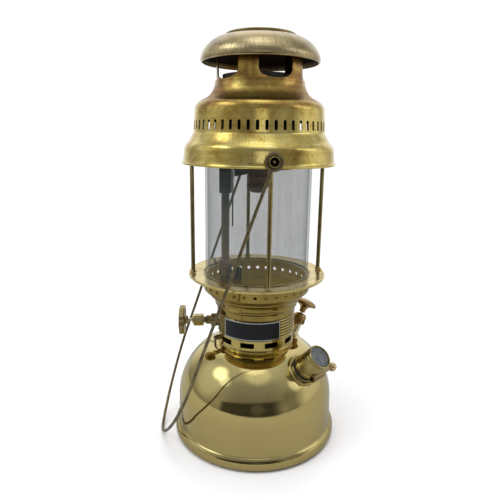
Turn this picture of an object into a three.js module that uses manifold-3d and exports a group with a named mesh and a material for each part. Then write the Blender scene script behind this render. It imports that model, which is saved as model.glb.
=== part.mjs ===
// A kerosene pressure lantern of spun brass: a pump-up tank, a glass globe in a four-rod cage,
// a slotted hood with a windowed chimney, and a long wire bail that lies against the table.
// Millimetres, +Z up. The origin is on the lantern's axis, on the table that it stands on.
// Azimuths are seen from above: 0 is the front (-Y) and 90 degrees is the right (+X).
import * as THREE from "three";
import { mergeVertices } from "three/addons/utils/BufferGeometryUtils.js";
import Module from "manifold-3d";

const wasm = await Module();
wasm.setup();

// Clearances, sheet and facets
const seat = 0.3; // between pieces that rest on or pass through each other
const running = 0.5; // round pieces that turn or slide in view
const overrun = 3; // how far a cut runs past what it cuts
const sheet = 1; // spun brass sheet
const weld = 0.001; // vertices closer than this are one
const degree = Math.PI / 180;
const bodySides = 24;
const collarSides = 20;
const hoodSides = 25;
const turnedSides = 12;
const smallSides = 8;
const rodSides = 10;
const holeSides = 5;
const cornerSteps = 2;
const roundSteps = 3;
const arcSteps = 4; // facets in each small arc of a flat shape

// Tank
const tankRadius = 80.4;
const tankWall = 1.2;
const tankHeight = 97.5;
const tankTopRadius = 38; // flat top that the collar stands on
const domeHeight = 56.5;
const straightWallTop = tankHeight - domeHeight;
const domeLowerShare = 0.54; // of the dome's height, how far its outline runs straight up
const domeUpperShare = 0.43; // of the dome's width, how far its outline runs level
const domeSteps = 6; // an even number, because the inside follows every second point
const footFlare = 4.6;
const footRadius = tankRadius + footFlare;
const footBead = 3;
const footOuterRadius = footRadius - footBead;
const footRimWidth = 3;
const footInnerRadius = footOuterRadius - footRimWidth;
const footBeadTop = 9.5;
const footStep = 8;
const footStepHeight = footBeadTop + footStep;
const footStepFlare = 0.8;
const footStepRadius = tankRadius + footStepFlare;
const bottomRecess = 1.8;

// Collar on the tank, with its ribs, vents and plate
const collarRadius = 38.9;
const collarHeight = 36.2;
const collarTop = tankHeight + collarHeight;
const collarRim = 0.7; // plain edge above the ribs
const ribHeight = 1.1;
const ribCount = 9;
const ribBand = 20.6;
const ribsTo = collarTop - collarRim;
const ribsFrom = ribsTo - ribBand;
const ventCount = 10;
const ventWidth = 14;
const ventHeight = 5.4;
const ventRise = 9.8; // above the tank
const ventMiddle = tankHeight + ventRise;
const ventAzimuth = 14.5 * degree;
const plateHeight = 19;
const plateDrop = 1.2; // from the collar's top
const plateFrom = collarTop - plateDrop - plateHeight;
const plateThickness = 0.7;
const plateAzimuth = -15.5 * degree;
const plateSpan = 84 * degree;

// Globe
const globeRadius = 52;
const globeWall = 2.2;
const globeHeight = 114;

// Gallery under the globe: its waist fits over the collar and its bowl round the globe
const galleryLap = 1.3;
const galleryWaistRadius = collarRadius + galleryLap;
const galleryWaistHeight = 7.3;
const galleryWaistTop = collarTop + galleryWaistHeight;
const globeMargin = 2.2;
const galleryWallRadius = globeRadius + globeMargin;
const galleryBowlHeight = 32.4;
const galleryRimHeight = galleryWaistTop + galleryBowlHeight;
const galleryRimWidth = 14.5;
const galleryRimRadius = galleryWallRadius + galleryRimWidth;
const galleryRimLip = 1.6;
const galleryCurve = 14; // height of the bowl's rounded foot
const galleryWallBottom = galleryWaistTop + galleryCurve;
const galleryHoleCount = 34;
const galleryHoleRadius = 1.75;
const galleryHoleDrop = 11.4; // below the rim
const galleryHoleHeight = galleryRimHeight - galleryHoleDrop;
const galleryFloorRise = 3.3; // above the collar
const galleryFloorHeight = collarTop + galleryFloorRise;
const galleryFloorHole = 13;
const galleryFloorLip = 3;
const globeSeatWidth = 4;
const globeBottom = galleryRimHeight - sheet + seat;

// Cage
const rodRadius = 2;
const rodMargin = 10.1; // outside the bowl's wall
const rodCircle = galleryWallRadius + rodMargin;
const rodCount = 4;
const ringHeight = 3.6;
const ringRise = 12.9; // the ring's top above the globe's
const ringTop = globeBottom + globeHeight + ringRise;
const ringMargin = 2.5;
const ringInnerRadius = rodCircle - ringMargin;

// Hood: skirt, slotted band, shoulder and neck
const skirtMargin = 7; // outside the cage rods
const skirtTopRadius = rodCircle + skirtMargin;
const skirtFlare = 1.4;
const hoodRimRadius = skirtTopRadius + skirtFlare;
const hoodBead = 1;
const skirtDrop = 5.6; // below the ring's top
const skirtTop = ringTop - skirtDrop;
const skirtHeight = 13.4;
const hoodRimHeight = skirtTop - skirtHeight;
const bandRise = 10.4; // above the ring's top
const bandFrom = ringTop + bandRise;
const bandInset = 1.9;
const bandFromRadius = rodCircle - bandInset;
const bandHeight = 18.4;
const bandTo = bandFrom + bandHeight;
const bandTaper = 1;
const bandToRadius = bandFromRadius - bandTaper;
const shoulderRound = 8.2;
const shoulderHeight = bandTo + shoulderRound;
const shoulderInset = 3.9;
const shoulderRadius = bandToRadius - shoulderInset;
const shoulderRise = 7.8;
const neckFrom = shoulderHeight + shoulderRise;
const neckRound = 11.8;
const neckTop = neckFrom + neckRound;
const neckTopRadius = 41.8;
const neckFlare = 5.2;
const neckFromRadius = neckTopRadius + neckFlare;
const slotCount = 50;
const slotHeight = 8.6;
const slotWidth = 2.8;
const slotRise = 6.4;
const slotMiddle = bandFrom + slotRise;
const hoodLiftRise = 3.4; // notch above the stud's shaft that lets the hood lift off

// Chimney with windows under the cap
const chimneyMargin = 1.3;
const chimneyRadius = neckTopRadius - chimneyMargin;
const chimneyLap = 6.7;
const chimneyBottom = neckTop - chimneyLap;
const windowCount = 5;
const windowSpan = 46 * degree;
const windowRise = 0.2;
const windowBottom = neckTop + windowRise;
const windowRound = 7;
const windowAzimuth = 11.5 * degree;
const fluteDepth = 0.45;
const fluteWidth = 5;
const fluteSides = 4;

// Cap and its top plate
const capOverhang = 14.9;
const capRimRadius = chimneyRadius + capOverhang;
const capRise = 15.8; // above the neck
const capRimHeight = neckTop + capRise;
const capLip = 1.8;
const capHeight = 22;
const capTop = capRimHeight + capHeight;
const capTopInset = 6;
const capTopRadius = chimneyRadius - capTopInset;
const capLowerShare = 0.42;
const capUpperShare = 0.42;
const topPlateRadius = 32.7;
const topPlateEdge = 2.6;
const topPlateCrown = 5.6;

// Inner chimney sleeve and the spider that holds the burner
const sleeveRadius = 35;
const sleeveDrop = 22.6; // below the ring's top
const sleeveBottom = ringTop - sleeveDrop;
const sleeveLap = 0.5;
const sleeveTop = chimneyBottom - sleeveLap;
const sleevePlateLap = 2.7; // onto the cage's ring
const sleevePlateRadius = ringInnerRadius + sleevePlateLap;
const sleeveBead = 1.5;
const spiderRise = 3; // above the sleeve's lower end
const spiderHeight = sleeveBottom + spiderRise;
const spiderThickness = 2;
const spiderArms = 3;
const spiderArm = 5;
const spiderHub = 3;

// Bail and its pivots
const pivotDrop = 12.6; // below the ring's top
const pivotHeight = ringTop - pivotDrop;
const studRadius = 3;
const bossRadius = 4.7;
const bossGap = 2.9; // outside the hood's skirt
const bossFrom = skirtTopRadius + bossGap;
const bossLength = 5.6;
const bossTo = bossFrom + bossLength;
const bossRecess = 1.4;
const bossHole = 3;
const bossPin = 1.5;
const eyeCircle = 6.6; // middle of the wire round the eye
const wireRadius = 1.5;
const eyeSetback = 1.8; // from the boss's end
const eyeSpacing = bossTo - eyeSetback; // from the axis to the middle of each eye
const legDraw = 9; // how far each leg draws in
const legSpacing = eyeSpacing - legDraw; // the same, where the legs end and the bow begins
const legShare = 0.7285; // of the way from the pivots to the table
const bowGap = 14.94; // from the tank's foot to where the bow lies on the table
const bailRest = Math.atan((footRadius + bowGap) / pivotHeight); // lean from hanging straight down
const bowPower = 1.5;
const bowPoints = 14;
const bailSteps = 38;
const bailSides = 6;
const eyeSteps = 12;

// Vaporizer line: control body in the collar, union nut, tube, jet and pricker
const fuelAzimuth = -96.5 * degree;
const fuelInset = 6.9;
const fuelCircle = collarRadius - fuelInset;
const stemRadius = 5;
const stemDepth = 9.5; // in the tank
const stemBottom = tankHeight - stemDepth;
const stemRise = 2.6; // above the gallery's rim
const stemTop = galleryRimHeight + stemRise;
const stemBore = 1.9;
const pickupRadius = 2.4;
const pickupWall = 0.8;
const pickupBottom = 8;
const spindleRise = 22.5; // above the tank
const spindleHeight = tankHeight + spindleRise;
const bodyRadius = 6.7;
const bodyInward = 7.5;
const bodyFrom = fuelCircle - bodyInward;
const bodyOutward = 7.7;
const bodyTo = collarRadius + bodyOutward;
const noseRadius = 4.5;
const noseLength = 5.1;
const noseTo = bodyTo + noseLength;
const threadRadius = 3.3;
const threadLength = 2.2;
const threadTo = noseTo + threadLength;
const packingNutLength = 10.8;
const packingNutFlats = 11;
const spindleRadius = 1.75;
const eccentricOffset = 1;
const eccentricRadius = 0.8;
const eccentricReach = 3;
const wheelHubRadius = 4.6;
const wheelHubLength = 3;
const wheelGap = 5.6; // between the packing nut and the hub
const wheelInner = threadTo + seat + packingNutLength + wheelGap + wheelHubLength;
const wheelThickness = 5.6;
const wheelRadius = 14.6;
const wheelScallop = 0.6;
const wheelScallops = 9;
const stepsPerScallop = 4;
const wheelHoleRadius = 2.6;
const wheelHoleCircle = 8.6;
const wheelHoles = 4;
const unionNutFlats = 12.6;
const unionNutLap = 6; // below the stem's top
const unionNutBottom = stemTop - unionNutLap;
const unionNutLength = 16;
const unionNutTop = unionNutBottom + unionNutLength;
const vaporizerRadius = 4;
const vaporizerBore = 2.6;
const vaporizerFoot = 2.2;
const vaporizerDrop = 28; // below the spider
const vaporizerTop = spiderHeight - vaporizerDrop;
const jetBase = 1.6;
const jetLength = 4.3;
const jetTop = vaporizerTop + seat + jetLength;
const jetTipRadius = 1.6;
const jetBore = 0.8;
const prickerRadius = 1.2;
const prickerPinRadius = 0.4;
const prickerPinLength = 5;
const prickerRise = 1; // of its tip above the vaporizer tube
const prickerTip = vaporizerTop + prickerRise;

// Mixing tube, mixing chamber, burner and the bar beside the vaporizer
const chamberRadius = 13;
const chamberBottom = spiderHeight + spiderThickness + seat;
const chamberHeight = 19.7;
const chamberTop = chamberBottom + chamberHeight;
const mouthBottom = vaporizerTop + seat + running;
const mixingRadius = 6.2;
const mixingWall = 0.9;
const mixingRise = 8.7;
const mixingHeight = chamberBottom + mixingRise;
const mixingBend = 14;
const mixingBendFrom = mixingHeight - mixingBend;
const mixingInset = 3.5;
const mixingEnd = chamberRadius - mixingInset;
const mixingSteps = 8;
const burnerRadius = 9.8;
const burnerFlangeDrop = 21; // below the spider
const burnerFlangeHeight = spiderHeight - burnerFlangeDrop;
const burnerFlangeLip = 1.5;
const burnerFlangeRadius = burnerRadius + burnerFlangeLip;
const burnerFlangeThickness = 2.6;
const nozzleRadius = 8;
const nozzleBore = 5;
const nozzleLength = 5.1;
const nozzleBottom = burnerFlangeHeight - seat - nozzleLength;
const barWidth = 5;
const barThickness = 1.4;
const barDrop = 5; // below the spider
const barTop = spiderHeight - barDrop;
const barLength = 55.4;
const barBottom = barTop - barLength;

// Preheater beside the vaporizer
const preheaterAzimuth = -78.5 * degree;
const preheaterOutward = 4.1;
const preheaterOuter = collarRadius + preheaterOutward;
const preheaterRise = 8.5; // above the tank
const preheaterHeight = tankHeight + preheaterRise;
const preheaterBarrel = 2.6;
const torchInset = 11;
const torchCircle = fuelCircle - torchInset;
const preheaterInward = 3;
const preheaterInner = torchCircle - preheaterInward;
const torchRadius = 4.6;
const torchWall = 0.8;
const torchNeck = 2.2;
const torchNeckDrop = 13.4; // below the gallery's rim
const torchNeckTop = galleryRimHeight - torchNeckDrop;
const torchLength = 18;
const torchTop = torchNeckTop + torchLength;
const leverLength = 9.5;
const leverWidth = 4;
const leverThickness = 1.8;
const leverPin = 1.1;

// Filler: neck on the dome, screwed cap with its pressure gauge, and release screw
const fillerAzimuth = 38.5 * degree;
const fillerPlaceShare = 0.56604; // of the way from the flat top to the tank's side
const fillerCircle = tankTopRadius + fillerPlaceShare * (tankRadius - tankTopRadius);
const fillerTilt = 43.5 * degree;
const fillerNeckRadius = 12.6;
const fillerNeckBore = 9.4;
const fillerFlangeRadius = 16;
const fillerFlangeTop = 1.4;
const fillerNeckTop = 3.2;
const fillerNeckDepth = 6;
const gasketThickness = 1.6;
const gasketRadius = 12.7;
const spigotRadius = 8.9;
const spigotLength = 8;
const fillerCapRadius = 12;
const fillerCapLength = 23;
const fillerCapGrip = 0.5;
const fillerCapGripWidth = 5;
const gaugeRadius = 10.2;
const gaugeDepth = 4.4;
const gaugeGlassLedge = 0.7;
const gaugeGlassThickness = 0.9;
const dialThickness = 0.6;
const dialPin = 0.9;
const needleThickness = 0.6;
const needleWidth = 1.2;
const needleReach = 7.4;
const needleTail = 2.6;
const bezelHeight = 2.4;
const bezelOpening = 9.4;
const releaseOffset = 12.5;
const releaseHeight = 5; // above the cap's lower face
const releaseBossRadius = 4.1;
const releaseBossFrom = -6;
const releaseBossTo = 11;
const releaseStemRadius = 1.6;
const releaseStemLength = 24.4;
const releaseKnobLength = 7;
const releaseKnobRadius = 4;
const releaseKnobWaist = 2.8;

// Pump
const pumpAzimuth = 114.5 * degree;
const pumpPlaceShare = 0.29717; // of the way from the flat top to the tank's side
const pumpCircle = tankTopRadius + pumpPlaceShare * (tankRadius - tankTopRadius);
const pumpTilt = 26.5 * degree;
const barrelRadius = 5;
const barrelBore = 4.2;
const barrelTop = 12.2;
const barrelDepth = 78;
const checkValveRadius = 3.4;
const checkValveLength = 6;
const checkValveHole = 1;
const pumpNutRadius = 7.3;
const pumpNutLength = 11.6;
const pumpNutShoulder = 2.4;
const pumpRodRadius = 1.6;
const pistonRadius = 3.8;
const pistonLength = 9;
const pumpKnobRadius = 12.4;
const pumpKnobStem = 3.6;
const pumpKnobStemLength = 8.6;
const pumpKnobCrown = 7;

// Finishes: colour, roughness and metalness
const finish = (color, roughness, metalness) => ({ color, roughness, metalness });
const polishedBrass = finish(0xd9c48a, 0.08, 1);
const yellowBrass = finish(0xb99a4a, 0.25, 1);
const agedBrass = finish(0x9a7d3c, 0.3, 1);
const satinBrass = finish(0xb8a56e, 0.35, 1);
const brownBrass = finish(0x6f5a32, 0.45, 1);
const bronze = finish(0x8a6238, 0.4, 1);
const darkSteel = finish(0x4c4436, 0.5, 1);
const sootedSteel = finish(0x2f2d2b, 0.7, 0.8);
const clearGlass = finish(0xe9eef0, 0.03, 0);
const blackRubber = finish(0x141414, 0.8, 0);
const clay = finish(0xc9bda8, 0.9, 0);
const leather = finish(0x5a4028, 0.8, 0);
const blackEnamel = finish(0x15161a, 0.35, 0.2);
const paleDial = finish(0xd8dde2, 0.5, 0);

// Geometry helpers
const point = (radius, height) => new THREE.Vector2(radius, height);

const at = (azimuth, radius, height) =>
  new THREE.Vector3(radius * Math.sin(azimuth), -radius * Math.cos(azimuth), height);

const corner = (from, over, to, steps) => new THREE.QuadraticBezierCurve(from, over, to).getPoints(steps);

// An outline of radius and height turned round the Z axis. One that doesn't end on the axis closes on itself.
function revolve(outline, sides) {
  const ordered = THREE.ShapeUtils.area(outline) > 0 ? outline : [...outline].reverse();
  const onAxis = ordered.filter((p) => p.x === 0).length > 1;
  const start = onAxis ? ordered.findIndex((p, i) => p.x === 0 && ordered.at(i - 1).x === 0) : 0;
  const turned = [...ordered.slice(start), ...ordered.slice(0, start)];
  const closed = onAxis ? turned : [...turned, turned[0]];
  return new THREE.LatheGeometry(closed, sides).rotateX(Math.PI / 2);
}

const rod = (radius, from, to, sides) =>
  revolve([point(0, from), point(radius, from), point(radius, to), point(0, to)], sides);

const hoop = (inner, outer, from, to, sides) =>
  revolve([point(inner, from), point(outer, from), point(outer, to), point(inner, to)], sides);

const hexagon = (flats, from, to) => rod(flats / 2 / Math.cos(Math.PI / 6), from, to, 6);

// A line moved to its left by a distance, corners kept sharp.
function shifted(line, distance) {
  const left = (from, to) => point(from.y - to.y, to.x - from.x).normalize();
  return line.map((p, i) => {
    const before = i > 0 ? left(line[i - 1], p) : left(p, line[i + 1]);
    const after = i < line.length - 1 ? left(p, line[i + 1]) : before;
    return before.clone().add(after).multiplyScalar(distance / (1 + before.dot(after))).add(p);
  });
}

// A sheet whose outer face follows a line that has the sheet on its left.
const sheetOf = (line, wall, sides) => revolve([...line, ...shifted(line, wall).reverse()], sides);

// Height of a line where it passes a radius, and radius where it passes a height.
function crossing(line, value, along, across) {
  const i = line.findIndex((p, k) => k > 0 && (line[k - 1][along] - value) * (p[along] - value) <= 0);
  const [a, b] = [line[i - 1], line[i]];
  return a[across] + ((b[across] - a[across]) * (value - a[along])) / (b[along] - a[along]);
}
const heightAt = (line, radius) => crossing(line, radius, "x", "y");
const radiusAt = (line, height) => crossing(line, height, "y", "x");

function solidFrom(geometry) {
  const bare = geometry.clone();
  bare.deleteAttribute("normal");
  bare.deleteAttribute("uv");
  const merged = mergeVertices(bare, weld);
  const build = (triVerts) =>
    new wasm.Manifold(
      new wasm.Mesh({ numProp: 3, vertProperties: merged.attributes.position.array, triVerts }),
    );
  const solid = build(new Uint32Array(merged.index.array));
  return solid.volume() > 0 ? solid : build(new Uint32Array(merged.index.array).reverse());
}

function geometryFrom(solid) {
  const mesh = solid.getMesh();
  return new THREE.BufferGeometry()
    .setAttribute("position", new THREE.BufferAttribute(new Float32Array(mesh.vertProperties), 3))
    .setIndex(new THREE.BufferAttribute(new Uint32Array(mesh.triVerts), 1));
}

const cut = (geometry, ...tools) =>
  geometryFrom(tools.reduce((solid, tool) => solid.subtract(solidFrom(tool)), solidFrom(geometry)));

const join = (geometry, ...others) =>
  geometryFrom(others.reduce((solid, other) => solid.add(solidFrom(other)), solidFrom(geometry)));

// A frame whose Z points outwards and up, X down the slope and Y along the tangent.
function frameAt(azimuth, radius, height, tilt) {
  const outward = at(azimuth, 1, 0);
  const up = new THREE.Vector3(0, 0, 1);
  const z = up.clone().multiplyScalar(Math.cos(tilt)).addScaledVector(outward, Math.sin(tilt));
  const x = outward.clone().multiplyScalar(Math.cos(tilt)).addScaledVector(up, -Math.sin(tilt));
  const group = new THREE.Group();
  group.setRotationFromMatrix(new THREE.Matrix4().makeBasis(x, z.clone().cross(x), z));
  group.position.copy(at(azimuth, radius, height));
  group.updateMatrixWorld(true);
  return group;
}

const placed = (geometry, frame) => geometry.clone().applyMatrix4(frame.matrixWorld);

// A radial frame at a height: its Z points straight out from the lantern's axis.
const radialFrame = (azimuth, height) => frameAt(azimuth, 0, height, Math.PI / 2);

function extruded(shape, thickness, from, curveSegments) {
  const settings = { depth: thickness, bevelEnabled: false, curveSegments };
  return new THREE.ExtrudeGeometry(shape, settings).translate(0, 0, from);
}

function disc(radius, bore, x = 0, y = 0) {
  const shape = new THREE.Shape().absarc(x, y, radius, 0, 2 * Math.PI, false);
  if (bore) shape.holes.push(new THREE.Path().absarc(x, y, bore, 0, 2 * Math.PI, true));
  return shape;
}

function alongPath(shape, path, steps, curveSegments) {
  return new THREE.ExtrudeGeometry(shape, { steps, extrudePath: path, curveSegments });
}

const lantern = new THREE.Group();

function add(name, geometry, material, parent = lantern) {
  const mesh = new THREE.Mesh(geometry, new THREE.MeshStandardMaterial(material));
  mesh.name = name;
  parent.add(mesh);
  return mesh;
}

// Copies of a tool turned round the lantern's axis.
const around = (count, first, make) =>
  Array.from({ length: count }, (_, i) => make(first + (i * 2 * Math.PI) / count));

// Outlines shared by several pieces
const domeLine = new THREE.CubicBezierCurve(
  point(tankRadius, straightWallTop),
  point(tankRadius, straightWallTop + domeLowerShare * (tankHeight - straightWallTop)),
  point(tankTopRadius + domeUpperShare * (tankRadius - tankTopRadius), tankHeight),
  point(tankTopRadius, tankHeight),
).getPoints(domeSteps);

const tankLine = [
  point(0, bottomRecess),
  point(footInnerRadius - bottomRecess, bottomRecess),
  point(footInnerRadius, 0),
  ...corner(
    point(footOuterRadius, 0),
    point(footRadius, 0),
    point(footRadius, footRadius - footOuterRadius),
    cornerSteps,
  ),
  point(footRadius, footBeadTop),
  point(footStepRadius, footStepHeight),
  ...domeLine,
  point(0, tankHeight),
];

const skirtRound = corner(
  point(skirtTopRadius, skirtTop),
  point(skirtTopRadius, skirtTop + (skirtTopRadius - bandFromRadius) / 2),
  point((skirtTopRadius + bandFromRadius) / 2, (skirtTop + bandFrom) / 2),
  cornerSteps,
);
const shoulderCorner = corner(
  point(bandToRadius, bandTo),
  point(bandToRadius, shoulderHeight),
  point(shoulderRadius, shoulderHeight),
  cornerSteps,
);
const neckCorner = corner(
  point(neckFromRadius, neckFrom),
  point(neckTopRadius, neckFrom),
  point(neckTopRadius, neckTop),
  cornerSteps,
);
const hoodLine = [
  point(hoodRimRadius, hoodRimHeight),
  point(hoodRimRadius + hoodBead, hoodRimHeight + hoodBead),
  point(hoodRimRadius, hoodRimHeight + 3 * hoodBead),
  ...skirtRound,
  point(bandFromRadius, bandFrom),
  ...shoulderCorner,
  ...neckCorner,
];
const hoodInside = shifted(
  [
    point(hoodRimRadius, hoodRimHeight),
    skirtRound[0],
    skirtRound.at(-1),
    point(bandFromRadius, bandFrom),
    shoulderCorner[0],
    shoulderCorner.at(-1),
    ...neckCorner,
  ],
  sheet,
);

const capLine = [
  point(capRimRadius - capLip, capRimHeight),
  ...new THREE.CubicBezierCurve(
    point(capRimRadius, capRimHeight + capLip),
    point(capRimRadius, capRimHeight + capLip + capLowerShare * (capTop - capRimHeight)),
    point(capTopRadius + capUpperShare * (capRimRadius - capTopRadius), capTop),
    point(capTopRadius, capTop),
  ).getPoints(arcSteps),
  point(0, capTop),
];

const galleryLine = [
  point(galleryWaistRadius, collarTop + seat),
  point(galleryWaistRadius, galleryWaistTop),
  ...corner(
    point(galleryWaistRadius + galleryRimLip, galleryWaistTop),
    point(galleryWallRadius, galleryWaistTop),
    point(galleryWallRadius, galleryWallBottom),
    cornerSteps,
  ),
  point(galleryWallRadius, galleryRimHeight),
];

// Frames of the pieces that stand on the dome
const fillerFrame = frameAt(fillerAzimuth, fillerCircle, heightAt(domeLine, fillerCircle), fillerTilt);
const pumpFrame = frameAt(pumpAzimuth, pumpCircle, heightAt(domeLine, pumpCircle), pumpTilt);
const spindleFrame = radialFrame(fuelAzimuth, spindleHeight);
const preheaterFrame = radialFrame(preheaterAzimuth, preheaterHeight);
const fuelPlace = at(fuelAzimuth, fuelCircle, 0);

// Tank: one drawn shell with a foot bead, pierced for the filler, the pump, the stem and the preheater.
function tank() {
  const insideLine = [
    point(footInnerRadius, bottomRecess),
    point(footStepRadius, footStepHeight),
    ...domeLine.filter((_, i) => i % 2 === 0),
    point(0, tankHeight),
  ];
  const inside = revolve([point(0, bottomRecess + tankWall), ...shifted(insideLine, tankWall)], bodySides);
  const fillerHole = rod(fillerNeckRadius + seat, -overrun - fillerNeckDepth, overrun, turnedSides);
  const pumpHole = rod(barrelRadius + seat, -barrelRadius - overrun, barrelRadius + overrun, turnedSides);
  const stemHole = rod(stemRadius + seat, stemBottom, tankHeight + overrun, turnedSides);
  const torchPlace = at(preheaterAzimuth, torchCircle, 0);
  const torchHole = rod(torchNeck + seat, stemBottom, tankHeight + overrun, smallSides);
  const shell = cut(
    revolve(tankLine, bodySides),
    inside,
    placed(fillerHole, fillerFrame),
    placed(pumpHole, pumpFrame),
    stemHole.translate(fuelPlace.x, fuelPlace.y, 0),
    torchHole.translate(torchPlace.x, torchPlace.y, 0),
  );
  add("tank_shell", shell, polishedBrass);
}

// Collar: a tube with rolled ribs, a row of vents, a slot for the control body and a hole for the preheater.
function collar() {
  const pitch = ribBand / ribCount;
  const ribs = Array.from({ length: ribCount }, (_, i) => [
    point(collarRadius, ribsFrom + i * pitch),
    point(collarRadius + ribHeight, ribsFrom + (i + 1 / 2) * pitch),
  ]).flat();
  const bottom = tankHeight + seat;
  const outline = [
    point(collarRadius - tankWall, bottom),
    point(collarRadius, bottom),
    ...ribs,
    point(collarRadius, ribsTo),
    point(collarRadius, collarTop),
    point(collarRadius - tankWall, collarTop),
  ];
  const vent = (azimuth) =>
    new THREE.BoxGeometry(ventWidth, 2 * overrun, ventHeight)
      .translate(0, -collarRadius, ventMiddle)
      .rotateZ(azimuth);
  const nearSlot = (azimuth) => Math.cos(azimuth - fuelAzimuth) > Math.cos(Math.PI / ventCount);
  const vents = around(ventCount, ventAzimuth, (azimuth) => (nearSlot(azimuth) ? null : vent(azimuth)));
  const slotReach = bodyRadius + running;
  const slotTop = rod(slotReach, collarRadius - overrun, collarRadius + overrun, turnedSides);
  const slotDown = new THREE.BoxGeometry(2 * slotReach, 2 * overrun, spindleHeight - bottom + overrun)
    .translate(0, -collarRadius, (spindleHeight + bottom - overrun) / 2)
    .rotateZ(fuelAzimuth);
  const holeRadius = preheaterBarrel + running;
  const preheaterHole = rod(holeRadius, collarRadius - overrun, collarRadius + overrun, smallSides);
  const shell = cut(
    revolve(outline, collarSides),
    ...vents.filter(Boolean),
    placed(slotTop, spindleFrame),
    slotDown,
    placed(preheaterHole, preheaterFrame),
  );
  add("ribbed_collar", shell, yellowBrass);
}

// Plate: a curved blank plate against the ribs.
function namePlate() {
  const inner = collarRadius + ribHeight + seat;
  const first = plateAzimuth - plateSpan / 2 - Math.PI / 2;
  const shape = new THREE.Shape();
  shape.absarc(0, 0, inner + plateThickness, first, first + plateSpan, false);
  shape.absarc(0, 0, inner, first + plateSpan, first, true);
  add("name_plate", extruded(shape, plateHeight, plateFrom, arcSteps), blackEnamel);
}

// Gallery: waist, bowl with a row of air holes and a wide rim with a turned edge that carries the cage.
function gallery() {
  const hole = (azimuth) =>
    rod(galleryHoleRadius, galleryWallRadius - overrun, galleryWallRadius + overrun, holeSides)
      .applyMatrix4(radialFrame(azimuth, galleryHoleHeight).matrixWorld);
  const half = Math.PI / galleryHoleCount;
  const bowl = sheetOf(galleryLine, sheet, galleryHoleCount);
  add("gallery_bowl", cut(bowl, ...around(galleryHoleCount, half, hole)), yellowBrass);

  const rimOutline = [
    point(galleryWallRadius + seat, galleryRimHeight - sheet),
    point(galleryRimRadius - sheet, galleryRimHeight - sheet),
    point(galleryRimRadius - sheet, galleryRimHeight - galleryRimLip - sheet),
    point(galleryRimRadius, galleryRimHeight - galleryRimLip - sheet),
    point(galleryRimRadius, galleryRimHeight),
    point(galleryWallRadius + seat, galleryRimHeight),
  ];
  add("gallery_rim", revolve(rimOutline, galleryHoleCount), yellowBrass);

  const floorRadius = galleryWaistRadius - sheet - seat;
  const floor = revolve(
    [
      point(galleryFloorHole, galleryFloorHeight),
      point(floorRadius, galleryFloorHeight),
      point(floorRadius, galleryFloorHeight + sheet),
      point(galleryFloorHole + sheet, galleryFloorHeight + sheet),
      point(galleryFloorHole + sheet, galleryFloorHeight + galleryFloorLip),
      point(galleryFloorHole, galleryFloorHeight + galleryFloorLip),
    ],
    collarSides,
  );
  const torchPlace = at(preheaterAzimuth, torchCircle, 0);
  const passage = (radius, place) =>
    rod(radius + running, galleryFloorHeight - overrun, galleryFloorHeight + overrun, turnedSides)
      .translate(place.x, place.y, 0);
  add("gallery_floor", cut(floor, passage(stemRadius, fuelPlace), passage(torchNeck, torchPlace)), agedBrass);

  const seatOuter = galleryWallRadius - sheet - seat;
  const seatTop = galleryRimHeight - sheet;
  const globeSeat = hoop(seatOuter - globeSeatWidth, seatOuter, seatTop - sheet, seatTop, bodySides);
  add("globe_seat", globeSeat, agedBrass);
}

// Globe: a plain glass cylinder standing in the gallery.
function globe() {
  const globeTop = globeBottom + globeHeight;
  const glass = hoop(globeRadius - globeWall, globeRadius, globeBottom, globeTop, bodySides);
  add("globe_glass", glass, clearGlass);
}

// Cage: four rods from the gallery rim to a ring inside the hood, which rests on that ring.
function cage() {
  const ringOuter = radiusAt(hoodInside, ringTop) - 2 * seat;
  add("cage_ring", hoop(ringInnerRadius, ringOuter, ringTop - ringHeight, ringTop, bodySides), agedBrass);
  const names = ["front", "right", "back", "left"];
  for (let i = 0; i < rodCount; i++) {
    const place = at((i * 2 * Math.PI) / rodCount, rodCircle, 0);
    const bar = rod(rodRadius, galleryRimHeight + seat, ringTop - ringHeight - seat, rodSides);
    add("cage_rod_" + names[i], bar.translate(place.x, place.y, 0), yellowBrass);
  }
}

// Pivot studs: each stands on a cage rod, passes through the hood's notch and carries an eye of the bail.
function studs() {
  const outline = [
    point(0, rodCircle + rodRadius + seat),
    point(studRadius, rodCircle + rodRadius + seat),
    point(studRadius, bossFrom),
    point(bossRadius, bossFrom),
    point(bossRadius, bossTo),
    point(bossHole, bossTo),
    point(bossHole, bossTo - bossRecess),
    point(bossPin, bossTo - bossRecess),
    point(bossPin, bossTo),
    point(0, bossTo),
  ];
  for (const [name, azimuth] of [["front", 0], ["back", Math.PI]]) {
    const frame = radialFrame(azimuth, pivotHeight);
    add("pivot_stud_" + name, revolve(outline, turnedSides), satinBrass, frame);
    lantern.add(frame);
  }
}

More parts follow.
